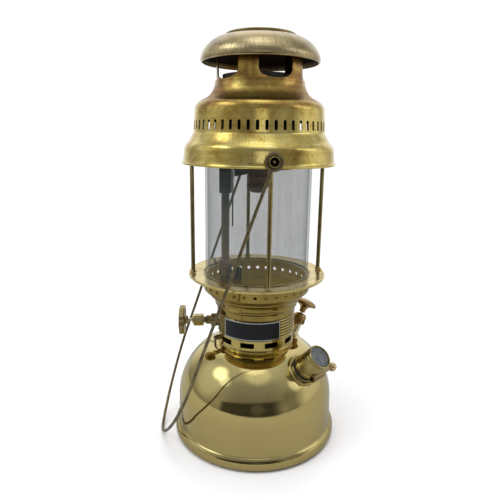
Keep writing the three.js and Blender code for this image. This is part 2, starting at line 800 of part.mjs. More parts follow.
// Bail: two eyes, two straight legs that draw in a little, and a pointed bow that rests on the table.
function bail() {
  const reach = (pivotHeight - wireRadius - seat) / Math.cos(bailRest);
  const legLength = legShare * reach;
  const legs = [-1, 1].map((side) => [
    new THREE.Vector3(0, side * eyeSpacing, -eyeCircle),
    new THREE.Vector3(0, side * legSpacing, -legLength),
  ]);
  const bow = Array.from({ length: bowPoints + 1 }, (_, i) => {
    const angle = (Math.PI * i) / bowPoints;
    const side = -Math.sign(Math.cos(angle)) * Math.abs(Math.cos(angle)) ** (2 / bowPower);
    const drop = Math.sin(angle) ** (2 / bowPower);
    return new THREE.Vector3(0, side * legSpacing, -legLength - drop * (reach - legLength));
  });
  const path = new THREE.CurvePath();
  path.add(new THREE.LineCurve3(legs[0][0], legs[0][1]));
  path.add(new THREE.CatmullRomCurve3(bow));
  path.add(new THREE.LineCurve3(legs[1][1], legs[1][0]));
  const wire = alongPath(disc(wireRadius), path, bailSteps, bailSides / 2);
  const eye = (side) =>
    new THREE.TorusGeometry(eyeCircle, wireRadius, bailSides, eyeSteps)
      .rotateX(Math.PI / 2)
      .translate(0, side * eyeSpacing, 0);
  const frame = new THREE.Group();
  frame.position.set(0, 0, pivotHeight);
  frame.rotation.y = bailRest;
  add("bail", join(wire, eye(-1), eye(1)), brownBrass, frame);
  lantern.add(frame);
}

// Hood shell: skirt, slotted band, shoulder and neck, with two notches that drop over the pivot studs.
function hoodShell() {
  const slot = (azimuth) =>
    new THREE.BoxGeometry(slotWidth, 2 * overrun + sheet, slotHeight)
      .translate(0, -bandToRadius, slotMiddle)
      .rotateZ(azimuth);
  const notchWidth = 2 * (studRadius + running);
  const notchTop = pivotHeight + hoodLiftRise;
  const notch = (azimuth) =>
    new THREE.BoxGeometry(notchWidth, 2 * overrun, notchTop - hoodRimHeight + overrun)
      .translate(0, -skirtTopRadius, (notchTop + hoodRimHeight - overrun) / 2)
      .rotateZ(azimuth);
  const slots = around(slotCount, Math.PI / slotCount, slot);
  const shell = revolve([...hoodLine, ...[...hoodInside].reverse()], hoodSides);
  add("hood_shell", cut(shell, ...slots, notch(0), notch(Math.PI)), agedBrass);
}

// Chimney: a tube with five round-bottomed windows between fluted pillars.
function chimney() {
  const top = heightAt(shifted(capLine, sheet), chimneyRadius) - 2 * seat;
  const tube = hoop(chimneyRadius - sheet, chimneyRadius, chimneyBottom, top, hoodSides);
  const half = chimneyRadius * Math.sin(windowSpan / 2);
  const opening = (azimuth) => {
    const shape = new THREE.Shape();
    shape.moveTo(-half, top + overrun);
    shape.lineTo(-half, windowBottom + windowRound);
    shape.absellipse(0, windowBottom + windowRound, half, windowRound, Math.PI, 2 * Math.PI, false, 0);
    shape.lineTo(half, top + overrun);
    return extruded(shape, chimneyRadius, 0, holeSides).rotateX(Math.PI / 2).rotateZ(azimuth);
  };
  const flute = (azimuth) =>
    rod(fluteWidth / 2, windowBottom, top + overrun, fluteSides)
      .scale(1, (2 * fluteDepth) / fluteWidth, 1)
      .translate(0, -chimneyRadius, 0)
      .rotateZ(azimuth);
  const pitch = Math.PI / windowCount;
  const openings = around(windowCount, windowAzimuth, opening);
  const flutes = around(windowCount, windowAzimuth + pitch, flute);
  add("hood_chimney", cut(tube, ...openings, ...flutes), agedBrass);
}

// Cap: a deep rounded lid over the chimney, with a crowned plate on top.
function cap() {
  add("hood_cap", sheetOf(capLine, sheet, bodySides), satinBrass);
  const bottom = capTop + seat;
  const outline = [
    point(0, bottom),
    point(topPlateRadius, bottom),
    ...corner(
      point(topPlateRadius, bottom + topPlateEdge),
      point(topPlateRadius - topPlateEdge, bottom + topPlateEdge + topPlateEdge / 2),
      point(topPlateRadius / 2, bottom + (topPlateEdge + topPlateCrown) / 2 + topPlateEdge / 4),
      cornerSteps,
    ),
    point(0, bottom + topPlateCrown),
  ];
  add("hood_top_plate", revolve(outline, bodySides), satinBrass);
}

// Sleeve: the inner chimney, notched for the mixing tube and hung by a bead in a plate on the cage ring.
function sleeve() {
  const plateTop = ringTop + seat + sheet;
  const plate = hoop(sleeveRadius + seat, sleevePlateRadius, ringTop + seat, plateTop, bodySides);
  add("sleeve_plate", plate, darkSteel);

  const beadBottom = plateTop + seat;
  const outline = [
    point(sleeveRadius - sheet, sleeveBottom),
    point(sleeveRadius, sleeveBottom),
    point(sleeveRadius, beadBottom),
    point(sleeveRadius + sleeveBead, beadBottom),
    point(sleeveRadius, beadBottom + sleeveBead),
    point(sleeveRadius, sleeveTop),
    point(sleeveRadius - sheet, sleeveTop),
  ];
  const width = 2 * (mixingRadius + running);
  const notchTop = mixingHeight + mixingRadius + running;
  const notch = new THREE.BoxGeometry(width, 4 * mixingRadius, notchTop - sleeveBottom + overrun)
    .translate(0, -sleeveRadius, (notchTop + sleeveBottom - overrun) / 2)
    .rotateZ(fuelAzimuth);
  add("inner_chimney", cut(revolve(outline, bodySides), notch), darkSteel);

  const hubInner = burnerRadius + seat;
  const armLength = (sleeveRadius - sheet) * Math.cos(Math.PI / bodySides) - seat;
  const arms = around(spiderArms, fuelAzimuth + Math.PI / spiderArms, (azimuth) =>
    new THREE.BoxGeometry(spiderArm, armLength - hubInner - sheet, spiderThickness)
      .translate(0, -(armLength + hubInner + sheet) / 2, spiderHeight + spiderThickness / 2)
      .rotateZ(azimuth),
  );
  const hub = hoop(hubInner, hubInner + spiderHub, spiderHeight, spiderHeight + spiderThickness, turnedSides);
  add("burner_spider", join(hub, ...arms), sootedSteel);
}

// Control body in the collar: a stem up from the tank, a barrel across it and bores for rod and spindle.
function controlBody() {
  const stem = rod(stemRadius, stemBottom, stemTop, turnedSides).translate(fuelPlace.x, fuelPlace.y, 0);
  const across = revolve(
    [
      point(0, bodyFrom),
      point(bodyRadius, bodyFrom),
      point(bodyRadius, bodyTo),
      point(noseRadius, bodyTo),
      point(noseRadius, noseTo),
      point(threadRadius, noseTo),
      point(threadRadius, threadTo),
      point(0, threadTo),
    ],
    turnedSides,
  );
  const bore = rod(stemBore, stemBottom - overrun, stemTop + overrun, smallSides);
  const boreEnd = fuelCircle + stemBore - eccentricReach - running;
  const spindleBore = rod(spindleRadius + seat, boreEnd, threadTo + overrun, smallSides);
  const body = cut(
    join(stem, placed(across, spindleFrame)),
    bore.translate(fuelPlace.x, fuelPlace.y, 0),
    placed(spindleBore, spindleFrame),
  );
  add("control_body", body, brownBrass);

  const pickup = hoop(pickupRadius - pickupWall, pickupRadius, pickupBottom, stemBottom - seat, smallSides);
  add("pickup_tube", pickup.translate(fuelPlace.x, fuelPlace.y, 0), satinBrass);
}

// Packing nut, spindle with its eccentric pin, and the scalloped handwheel.
function handwheel() {
  lantern.add(spindleFrame);
  const nutFrom = threadTo + seat;
  const nut = cut(
    hexagon(packingNutFlats, nutFrom, nutFrom + packingNutLength),
    rod(spindleRadius + seat, nutFrom - overrun, nutFrom + packingNutLength + overrun, smallSides),
  );
  add("packing_nut", nut, polishedBrass, spindleFrame);

  const innerEnd = fuelCircle + stemBore;
  const hubFrom = wheelInner - wheelHubLength;
  const pin = rod(eccentricRadius, innerEnd - eccentricReach, innerEnd + overrun, smallSides)
    .translate(eccentricOffset, 0, 0);
  const spindle = rod(spindleRadius, innerEnd, hubFrom - seat, smallSides);
  add("wheel_spindle", join(spindle, pin), satinBrass, spindleFrame);

  const steps = wheelScallops * stepsPerScallop;
  const rim = Array.from({ length: steps }, (_, i) => {
    const angle = (i * 2 * Math.PI) / steps;
    const radius = wheelRadius + wheelScallop * Math.cos(wheelScallops * angle);
    return point(radius * Math.cos(angle), radius * Math.sin(angle));
  });
  const shape = new THREE.Shape(rim);
  for (const angle of Array.from({ length: wheelHoles }, (_, i) => (i * 2 * Math.PI) / wheelHoles)) {
    const [x, y] = [wheelHoleCircle * Math.cos(angle), wheelHoleCircle * Math.sin(angle)];
    shape.holes.push(new THREE.Path().absarc(x, y, wheelHoleRadius, 0, 2 * Math.PI, true));
  }
  const plate = extruded(shape, wheelThickness, wheelInner, arcSteps);
  const hub = rod(wheelHubRadius, hubFrom, wheelInner + wheelThickness + seat, turnedSides);
  add("handwheel", join(plate, hub), brownBrass, spindleFrame);
}

// Vaporizer: union nut, tube with a foot flange, jet, and the pricker rod inside.
function vaporizer() {
  const column = new THREE.Group();
  column.position.copy(fuelPlace);
  lantern.add(column);
  const footTop = stemTop + seat + vaporizerFoot;
  const footHole = rod(stemRadius + seat, unionNutBottom - overrun, footTop + seat, turnedSides);
  const tubeHole = rod(vaporizerRadius + seat, unionNutBottom, unionNutTop + overrun, turnedSides);
  const unionNut = cut(hexagon(unionNutFlats, unionNutBottom, unionNutTop), footHole, tubeHole);
  add("union_nut", unionNut, bronze, column);

  const tubeOutline = [
    point(vaporizerBore, stemTop + seat),
    point(stemRadius, stemTop + seat),
    point(stemRadius, footTop),
    point(vaporizerRadius, footTop),
    point(vaporizerRadius, vaporizerTop),
    point(vaporizerBore, vaporizerTop),
  ];
  add("vaporizer_tube", revolve(tubeOutline, turnedSides), darkSteel, column);

  const jetBottom = vaporizerTop + seat;
  const jetOutline = [
    point(jetBore, jetBottom),
    point(vaporizerRadius, jetBottom),
    point(vaporizerRadius, jetBottom + jetBase),
    point(jetTipRadius, jetTop),
    point(jetBore, jetTop),
  ];
  add("fuel_jet", revolve(jetOutline, smallSides), brownBrass, column);

  const rodBottom = spindleHeight - eccentricOffset + eccentricRadius + 2 * seat;
  const rodOutline = [
    point(0, rodBottom),
    point(prickerRadius, rodBottom),
    point(prickerRadius, prickerTip - prickerPinLength),
    point(prickerPinRadius, prickerTip - prickerPinLength),
    point(prickerPinRadius, prickerTip),
    point(0, prickerTip),
  ];
  add("pricker_rod", revolve(rodOutline, smallSides), darkSteel, column);

  const bar = new THREE.BoxGeometry(barThickness, barWidth, barTop - barBottom);
  const barCircle = fuelCircle - mixingRadius - seat - barThickness / 2;
  const barPlace = at(fuelAzimuth, barCircle, (barTop + barBottom) / 2);
  add("vaporizer_bar", bar.rotateZ(fuelAzimuth + Math.PI / 2).translate(...barPlace), sootedSteel);
}

// Mixing tube from above the jet to the mixing chamber, with the burner hanging under it.
function burner() {
  const mouth = at(fuelAzimuth, fuelCircle, mouthBottom);
  const bendFrom = at(fuelAzimuth, fuelCircle, mixingBendFrom);
  const bendOver = at(fuelAzimuth, fuelCircle, mixingHeight);
  const bendTo = at(fuelAzimuth, fuelCircle - mixingBend, mixingHeight);
  const climb = new THREE.CurvePath();
  climb.add(new THREE.LineCurve3(mouth, bendFrom));
  climb.add(new THREE.QuadraticBezierCurve3(bendFrom, bendOver, bendTo));
  climb.add(new THREE.LineCurve3(bendTo, at(fuelAzimuth, mixingEnd, mixingHeight)));
  const section = disc(mixingRadius, mixingRadius - mixingWall);
  add("mixing_tube", alongPath(section, climb, mixingSteps, arcSteps), sootedSteel);

  const chamberWall = chamberRadius - sheet;
  const outline = [
    point(burnerRadius - sheet, burnerFlangeHeight),
    point(burnerFlangeRadius, burnerFlangeHeight),
    point(burnerFlangeRadius, burnerFlangeHeight + burnerFlangeThickness),
    point(burnerRadius, burnerFlangeHeight + burnerFlangeThickness),
    point(burnerRadius, chamberBottom),
    point(chamberRadius, chamberBottom),
    point(chamberRadius, chamberTop),
    point(0, chamberTop),
    point(0, chamberTop - sheet),
    point(chamberWall, chamberTop - sheet),
    point(chamberWall, chamberBottom + sheet),
    point(burnerRadius - sheet, chamberBottom + sheet),
  ];
  const inlet = rod(mixingRadius + seat, mixingEnd - overrun, chamberRadius + overrun, turnedSides);
  const chamber = cut(revolve(outline, turnedSides), placed(inlet, radialFrame(fuelAzimuth, mixingHeight)));
  add("mixing_chamber", chamber, bronze);

  const nozzleTop = burnerFlangeHeight - seat;
  add("burner_nozzle", hoop(nozzleBore, nozzleRadius, nozzleBottom, nozzleTop, turnedSides), clay);
}

// Preheater: a valve barrel through the collar, a torch up beside the vaporizer and a lever outside.
function preheater() {
  lantern.add(preheaterFrame);
  const torchPlace = at(preheaterAzimuth, torchCircle, 0);
  const neck = rod(torchNeck, tankHeight - overrun, torchNeckTop, smallSides)
    .translate(torchPlace.x, torchPlace.y, 0);
  const barrel = placed(rod(preheaterBarrel, preheaterInner, preheaterOuter, smallSides), preheaterFrame);
  const pinBore = rod(leverPin + seat, preheaterOuter - overrun, preheaterOuter + overrun, smallSides);
  add("preheater_body", cut(join(neck, barrel), placed(pinBore, preheaterFrame)), brownBrass);

  const outline = [
    point(0, torchNeckTop + seat),
    point(torchRadius - torchWall, torchNeckTop + seat),
    point(torchRadius, torchNeckTop + seat + torchWall),
    point(torchRadius, torchTop),
    point(torchRadius - torchWall, torchTop),
    point(torchRadius - torchWall, torchNeckTop + seat + 2 * torchWall),
    point(0, torchNeckTop + seat + 2 * torchWall),
  ];
  add("preheater_torch", revolve(outline, smallSides).translate(torchPlace.x, torchPlace.y, 0), bronze);

  const lever = new THREE.Shape();
  lever.absarc(0, 0, leverWidth / 2, -Math.PI / 2, Math.PI / 2, false);
  lever.absarc(-leverLength + leverWidth / 2, 0, leverWidth / 2, Math.PI / 2, -Math.PI / 2, false);
  const blade = extruded(lever, leverThickness, preheaterOuter + seat, arcSteps).rotateZ(Math.PI);
  const pinTo = preheaterOuter + seat + leverThickness / 2;
  const pin = rod(leverPin, preheaterOuter - overrun + seat, pinTo, smallSides);
  add("preheater_lever", join(blade, pin), brownBrass, preheaterFrame);
}

// Filler neck seated on the dome, gasket, cap, gauge and release screw.
function filler() {
  lantern.add(fillerFrame);
  const neck = join(
    rod(fillerNeckRadius, -fillerNeckDepth, fillerNeckTop, turnedSides),
    rod(fillerFlangeRadius, -fillerNeckDepth, fillerFlangeTop, turnedSides),
  );
  const through = rod(fillerNeckBore, -fillerNeckDepth - overrun, fillerNeckTop + overrun, turnedSides);
  const tankSpace = revolve(shifted(tankLine, -seat), bodySides);
  const sleeveInTank = rod(fillerNeckRadius, -fillerNeckDepth, 0, turnedSides);
  const flange = cut(placed(neck, fillerFrame), tankSpace);
  const whole = join(flange, placed(sleeveInTank, fillerFrame));
  add("filler_neck", cut(whole, placed(through, fillerFrame)), yellowBrass);

  const gasketFrom = fillerNeckTop + seat;
  const gasketTo = gasketFrom + gasketThickness;
  const gasket = hoop(fillerNeckBore, gasketRadius, gasketFrom, gasketTo, turnedSides);
  add("cap_gasket", gasket, blackRubber, fillerFrame);

  const capFrom = gasketTo + seat;
  const capTo = capFrom + fillerCapLength;
  const gripTo = capFrom + fillerCapGripWidth;
  const ledge = capTo - gaugeGlassThickness - seat;
  const outline = [
    point(0, capFrom - spigotLength),
    point(spigotRadius, capFrom - spigotLength),
    point(spigotRadius, capFrom),
    point(fillerCapRadius + fillerCapGrip, capFrom),
    point(fillerCapRadius + fillerCapGrip, gripTo - fillerCapGrip),
    point(fillerCapRadius, gripTo),
    point(fillerCapRadius, capTo),
    point(gaugeRadius + gaugeGlassLedge, capTo),
    point(gaugeRadius + gaugeGlassLedge, ledge),
    point(gaugeRadius, ledge),
    point(gaugeRadius, capTo - gaugeDepth),
    point(0, capTo - gaugeDepth),
  ];
  const releaseLevel = capFrom + releaseHeight;
  const releaseAt = (geometry) => geometry.rotateX(-Math.PI / 2).translate(releaseOffset, 0, releaseLevel);
  const boss = releaseAt(rod(releaseBossRadius, releaseBossFrom, releaseBossTo, turnedSides));
  const bore = releaseAt(rod(releaseStemRadius + seat, 0, releaseBossTo + overrun, smallSides));
  add("filler_cap", cut(join(revolve(outline, collarSides), boss), bore), yellowBrass, fillerFrame);

  const stem = releaseAt(rod(releaseStemRadius, seat, releaseStemLength, smallSides));
  add("release_stem", stem, darkSteel, fillerFrame);
  const knobTo = releaseStemLength + seat + releaseKnobLength;
  const knobOutline = [
    point(0, releaseStemLength + seat),
    point(releaseKnobWaist, releaseStemLength + seat),
    ...corner(
      point(releaseKnobRadius, releaseStemLength + seat + releaseKnobLength / 4),
      point(releaseKnobRadius, knobTo),
      point(releaseKnobWaist, knobTo),
      roundSteps,
    ),
    point(0, knobTo),
  ];
  add("release_knob", releaseAt(revolve(knobOutline, turnedSides)), satinBrass, fillerFrame);

  const dialFrom = capTo - gaugeDepth + seat;
  const pinTop = dialFrom + dialThickness + seat;
  const dial = [
    point(0, dialFrom),
    point(gaugeRadius - seat, dialFrom),
    point(gaugeRadius - seat, dialFrom + dialThickness),
    point(dialPin, dialFrom + dialThickness),
    point(dialPin, pinTop),
    point(0, pinTop),
  ];
  add("gauge_dial", revolve(dial, collarSides), paleDial, fillerFrame);
  const hand = new THREE.Shape([
    point(-needleTail, -needleWidth / 2),
    point(0, -needleWidth / 2),
    point(needleReach, 0),
    point(0, needleWidth / 2),
    point(-needleTail, needleWidth / 2),
  ]);
  const needleHub = rod(needleWidth, pinTop + seat, pinTop + seat + needleThickness, smallSides);
  const needle = join(extruded(hand, needleThickness, pinTop + seat, 1), needleHub);
  add("gauge_needle", needle, blackEnamel, fillerFrame);
  const glassRadius = gaugeRadius + gaugeGlassLedge - seat;
  const glass = rod(glassRadius, ledge + seat, ledge + seat + gaugeGlassThickness, collarSides);
  add("gauge_glass", glass, clearGlass, fillerFrame);
  const bezelFrom = capTo + seat;
  const bezelOutline = [
    point(bezelOpening, bezelFrom),
    point(fillerCapRadius, bezelFrom),
    ...corner(
      point(fillerCapRadius, bezelFrom + bezelHeight / 3),
      point(fillerCapRadius, bezelFrom + bezelHeight),
      point((fillerCapRadius + bezelOpening) / 2, bezelFrom + bezelHeight),
      cornerSteps,
    ),
    point(bezelOpening, bezelFrom + bezelHeight / 2),
  ];
  add("gauge_bezel", revolve(bezelOutline, collarSides), polishedBrass, fillerFrame);
}

// Pump: barrel into the tank with a check valve, cap nut, and the rod with its leather and knob.
function pump() {
  lantern.add(pumpFrame);
  const bottom = -barrelDepth;
  const valveTop = bottom + checkValveLength;
  const barrel = revolve(
    [
      point(checkValveRadius + seat, bottom),
      point(barrelRadius, bottom),
      point(barrelRadius, barrelTop),
      point(barrelBore, barrelTop),
      point(barrelBore, valveTop),
      point(checkValveRadius + seat, valveTop),
    ],
    turnedSides,
  );
  add("pump_barrel", barrel, satinBrass, pumpFrame);
  const valve = hoop(checkValveHole, checkValveRadius, bottom, valveTop, smallSides);
  add("pump_check_valve", valve, yellowBrass, pumpFrame);

  const nutFrom = barrelTop + seat;
  const nutTo = nutFrom + pumpNutLength;
  const nut = [
    point(pumpRodRadius + seat, nutFrom),
    point(pumpNutRadius, nutFrom),
    point(pumpNutRadius, nutTo - pumpNutShoulder),
    point(pumpNutRadius - pumpNutShoulder, nutTo),
    point(pumpRodRadius + seat, nutTo),
  ];
  add("pump_cap_nut", revolve(nut, turnedSides), bronze, pumpFrame);

  const pistonFrom = valveTop + running;
  const pistonTo = pistonFrom + pistonLength;
  const piston = hoop(pumpRodRadius + seat, pistonRadius, pistonFrom, pistonTo, turnedSides);
  add("pump_leather", piston, leather, pumpFrame);
  const rodTop = nutTo + 2 * running;
  const pumpRod = rod(pumpRodRadius, pistonFrom, rodTop, smallSides);
  add("pump_rod", pumpRod, satinBrass, pumpFrame);
  const knobBottom = rodTop + seat;
  const knobRim = knobBottom + pumpKnobStemLength;
  const knobTop = knobRim + pumpKnobCrown;
  const knob = [
    point(0, knobBottom),
    point(pumpKnobStem, knobBottom),
    ...corner(
      point(pumpKnobStem, knobRim - pumpKnobStem),
      point(pumpKnobStem, knobRim),
      point(pumpKnobRadius, knobRim),
      cornerSteps,
    ),
    ...corner(
      point(pumpKnobRadius, knobRim + sheet),
      point(pumpKnobRadius, knobTop),
      point(0, knobTop),
      roundSteps,
    ),
  ];
  add("pump_knob", revolve(knob, turnedSides), bronze, pumpFrame);
}

tank();
collar();
namePlate();
gallery();
globe();
cage();
studs();
bail();
hoodShell();
chimney();
cap();
sleeve();
controlBody();
handwheel();
vaporizer();
burner();
preheater();
filler();
pump();

export default lantern;
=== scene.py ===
"""A kerosene pressure lantern of polished and aged brass, on a pale table with its wire bail let down.
Metres, +Z up, the front towards -Y. The pieces are sized in millimetres, which become metres in the mesh.
Finishes, camera and lights are given in metres."""
from math import atan2, copysign, cos, pi, radians, sin, sqrt, tau

import bmesh
import bpy
from mathutils import Matrix, Vector


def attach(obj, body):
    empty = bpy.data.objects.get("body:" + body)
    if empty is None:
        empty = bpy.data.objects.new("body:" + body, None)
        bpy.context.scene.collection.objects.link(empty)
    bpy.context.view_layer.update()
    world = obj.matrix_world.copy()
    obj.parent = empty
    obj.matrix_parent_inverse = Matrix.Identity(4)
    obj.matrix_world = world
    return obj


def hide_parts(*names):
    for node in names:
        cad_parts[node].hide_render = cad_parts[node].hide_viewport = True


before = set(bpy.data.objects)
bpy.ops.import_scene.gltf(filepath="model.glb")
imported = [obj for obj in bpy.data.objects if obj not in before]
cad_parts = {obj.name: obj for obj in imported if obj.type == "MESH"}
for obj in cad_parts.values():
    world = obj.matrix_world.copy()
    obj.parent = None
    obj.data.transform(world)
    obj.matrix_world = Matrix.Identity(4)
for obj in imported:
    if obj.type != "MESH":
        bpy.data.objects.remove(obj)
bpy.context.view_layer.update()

# Camera: level with the hood's slots, half a metre away and a little to the left of the front, looking down
# at the tank. The place and the lens come from fitting the outline.
eye = Vector((-0.0775, -0.4629, 0.3081))
turn, pitch, roll = radians(8.64), radians(13.56), radians(0.83)
ahead = Vector((sin(turn) * cos(pitch), cos(turn) * cos(pitch), -sin(pitch)))
level = Vector((cos(turn), -sin(turn), 0))
upright = level.cross(ahead)
across = cos(roll) * level + sin(roll) * upright
above = cos(roll) * upright - sin(roll) * level
camera_data = bpy.data.cameras.new("camera")
camera_data.sensor_width = 36
camera_data.lens = 34.35
camera_data.clip_start = 0.01
camera = bpy.data.objects.new("camera", camera_data)
camera.matrix_world = Matrix.Translation(eye) @ Matrix((across, above, -ahead)).transposed().to_4x4()
bpy.context.collection.objects.link(camera)
scene = bpy.context.scene
scene.camera = camera
scene.view_settings.view_transform = "Standard"

# Table: a round top just under the lantern's foot. The camera sees it nearly white, and the polished tank
# mirrors it in a greyer tone, as from a room that is dimmer than the picture.


def rgba(colour):
    """Three numbers, or one for a grey, as a colour socket takes them. A link stays as it is."""
    if isinstance(colour, (int, float)):
        colour = (colour, colour, colour)
    return (*colour, 1.0) if isinstance(colour, tuple) else colour


class Nodes:
    """The nodes of one finish, of the room or of a shape. Each call adds a node and gives its output."""

    def __init__(self, tree):
        self.tree = tree

    def add(self, kind, values=None, output=0, **settings):
        node = self.tree.nodes.new(kind)
        for name, value in settings.items():
            setattr(node, name, value)
        for name, value in (values or {}).items():
            if isinstance(value, bpy.types.NodeSocket):
                self.tree.links.new(value, node.inputs[name])
            elif value is not None:
                node.inputs[name].default_value = value
        return node.outputs[output] if node.outputs else None

    def place(self, kind="Object"):
        return self.add("ShaderNodeTexCoord", output=kind)

    def split(self, place):
        return self.add("ShaderNodeSeparateXYZ", {"Vector": place}).node.outputs

    def join(self, x, y, z=0.0):
        return self.add("ShaderNodeCombineXYZ", {"X": x, "Y": y, "Z": z})

    def maths(self, operation, *values, clamp=False):
        return self.add("ShaderNodeMath", dict(enumerate(values)), operation=operation, use_clamp=clamp)

    def vector(self, operation, *values, output="Vector"):
        return self.add("ShaderNodeVectorMath", dict(enumerate(values)), output, operation=operation)

    def remap(self, value, start=0.0, stop=1.0, low=0.0, high=1.0, ease="LINEAR"):
        limits = {"From Min": start, "From Max": stop, "To Min": low, "To Max": high}
        return self.add("ShaderNodeMapRange", {"Value": value, **limits}, interpolation_type=ease)

    def noise(self, place, scale, detail=2.0, roughness=0.5, distortion=0.0):
        grain = {"Scale": scale, "Detail": detail, "Roughness": roughness, "Distortion": distortion}
        return self.add("ShaderNodeTexNoise", {"Vector": place, **grain})

    def mix(self, share, low, high):
        return self.add("ShaderNodeMix", {"Factor": share, "A": low, "B": high})

    def tint(self, share, low, high):
        return self.add("ShaderNodeMix", {"Factor": share, 6: rgba(low), 7: rgba(high)}, 2, data_type="RGBA")

    def ramp(self, share, *stops):
        colour = self.add("ShaderNodeValToRGB", {"Fac": share})
        marks = colour.node.color_ramp.elements
        marks[0].position, marks[1].position = stops[0][0], stops[-1][0]
        for position, _ in stops[1:-1]:
            marks.new(position)
        for mark, (_, tone) in zip(marks, stops):
            mark.color = rgba(tone)
        return colour

    def bump(self, height, strength, distance, under=None):
        relief = {"Height": height, "Strength": strength, "Distance": distance, "Normal": under}
        return self.add("ShaderNodeBump", relief)

    def surface(self, colour, roughness, metal=0.0, bump=None, specular=0.5, **glass):
        look = {"Base Color": rgba(colour), "Roughness": roughness, "Metallic": metal, "Normal": bump}
        shader = self.add("ShaderNodeBsdfPrincipled", {**look, "Specular IOR Level": specular, **glass})
        self.add("ShaderNodeOutputMaterial", {"Surface": shader})


def new_finish(name):
    material = bpy.data.materials.new(name)
    material.use_nodes = True
    material.node_tree.nodes.clear()
    return material, Nodes(material.node_tree)


def mesh_object(name, vertices, faces, edges=()):
    mesh = bpy.data.meshes.new(name)
    mesh.from_pydata([Vector(v) / 1000 for v in vertices], edges, faces)
    made = bpy.data.objects.new(name, mesh)
    bpy.context.collection.objects.link(made)
    return made


table_radius, table_top, table_sides = 900, -0.05, 96
table_turns = [k * tau / table_sides for k in range(table_sides)]
table_rim = [(table_radius * cos(a), table_radius * sin(a), table_top) for a in table_turns]
table = mesh_object("table", table_rim, [list(range(table_sides))])
table_paint, nodes = new_finish("table_paint")
mirrored = nodes.ramp(nodes.noise(nodes.place(), 9.0), (0.0, (0.39, 0.39, 0.38)), (1.0, (0.45, 0.45, 0.44)))
seen = nodes.add("ShaderNodeLightPath", output="Is Camera Ray")
nodes.surface(nodes.tint(seen, mirrored, (0.9, 0.865, 0.85)), 0.9, specular=0.0)
table.data.materials.append(table_paint)

# Screen: a low dark cloth in front of the lantern, thinning out towards its edges. It only shows in the
# polished brass, as the dark things of a room do.
screen_middle, screen_half = Vector((-320, -620, 138)), Vector((740, 0, 158))
screen_corners = [
    (screen_middle.x + x * screen_half.x, screen_middle.y, screen_middle.z + z * screen_half.z)
    for x, z in ((-1, -1), (1, -1), (1, 1), (-1, 1))
]
screen = mesh_object("dark_screen", screen_corners, [(0, 1, 2, 3)])
screen_cloth, nodes = new_finish("screen_cloth")
from_middle = nodes.add("ShaderNodeMapping", {
    "Vector": nodes.place(), "Location": (screen_middle.x / 1000, 0.0, screen_middle.z / 1000),
    "Scale": (screen_half.x / 1000, 1.0, screen_half.z / 1000)}, vector_type="TEXTURE")
sideways, _, upwards = nodes.split(from_middle)
to_edge = nodes.maths("MAXIMUM", nodes.maths("ABSOLUTE", sideways), upwards)
cover = nodes.remap(to_edge, 1.0, 0.62, high=0.88, ease="SMOOTHSTEP")
gap = nodes.add("ShaderNodeBsdfTransparent")
cloth = nodes.add("ShaderNodeBsdfDiffuse", {"Color": (0.03, 0.03, 0.028, 1.0)})
screen_veil = nodes.add("ShaderNodeMixShader", {0: cover, 1: gap, 2: cloth})
nodes.add("ShaderNodeOutputMaterial", {"Surface": screen_veil})
screen.data.materials.append(screen_cloth)
screen.visible_camera = screen.visible_diffuse = screen.visible_shadow = screen.visible_transmission = False

# Room: dim walls that grow paler upwards, with a window high on the left, a lamp on the right and softer
# patches of light. The last two patches take light away. The camera sees plain white instead.
world = bpy.data.worlds.new("room")
world.use_nodes = True
world.node_tree.nodes.clear()
scene.world = world
nodes = Nodes(world.node_tree)
direction = nodes.place("Generated")
climb = nodes.remap(nodes.split(direction)["Z"], -1.0, 1.0)
room = nodes.ramp(
    climb, (0.0, (0.3, 0.32, 0.32)), (0.49, (0.3, 0.32, 0.32)), (0.53, (0.38, 0.39, 0.39)),
    (0.66, (0.36, 0.38, 0.4)), (0.85, (0.44, 0.48, 0.52)), (1.0, (0.7, 0.76, 0.82)))
light_patches = (
    # azimuth, height, full within, gone beyond, colour
    (-90, 45, 2, 15, (1.5, 1.65, 1.8)),
    (-70, 41, 1, 12, (0.8, 0.9, 1.0)),
    (-96, 30, 4, 34, (0.3, 0.34, 0.38)),
    (66, 30, 1, 14, (0.68, 0.75, 0.83)),
    (82, 22, 1, 12, (0.5, 0.55, 0.6)),
    (88, 4, 6, 40, (0.36, 0.38, 0.4)),
    (0, 66, 4, 22, (0.36, 0.4, 0.43)),
    (-20, 84, 2, 20, (0.6, 0.65, 0.7)),
    (172, 20, 20, 60, (0.6, 0.63, 0.66)),
    (-5, 8, 3, 13, (0.5, 0.53, 0.56)),
    (-8, 26, 6, 56, (-0.14, -0.15, -0.15)),
    (52, 13, 2, 24, (-0.12, -0.13, -0.14)),
)
for azimuth, height, full, gone, colour in light_patches:
    azimuth, height = radians(azimuth), radians(height)
    toward = (sin(azimuth) * cos(height), -cos(azimuth) * cos(height), sin(height))
    facing = nodes.vector("DOT_PRODUCT", direction, toward, output="Value")
    glow = nodes.remap(facing, cos(radians(gone)), cos(radians(full)), ease="SMOOTHERSTEP")
    glow = nodes.add("ShaderNodeVectorMath", {0: colour, "Scale": glow}, operation="SCALE")
    room = nodes.vector("ADD", room, glow)
seen = nodes.add("ShaderNodeLightPath", output="Is Camera Ray")
dim_room = nodes.add("ShaderNodeBackground", {"Color": room, "Strength": 1.0})
white_back = nodes.add("ShaderNodeBackground", {"Color": (1.0, 1.0, 1.0, 1.0), "Strength": 1.05})
back = nodes.add("ShaderNodeMixShader", {0: seen, 1: dim_room, 2: white_back})
nodes.add("ShaderNodeOutputWorld", {"Surface": back})

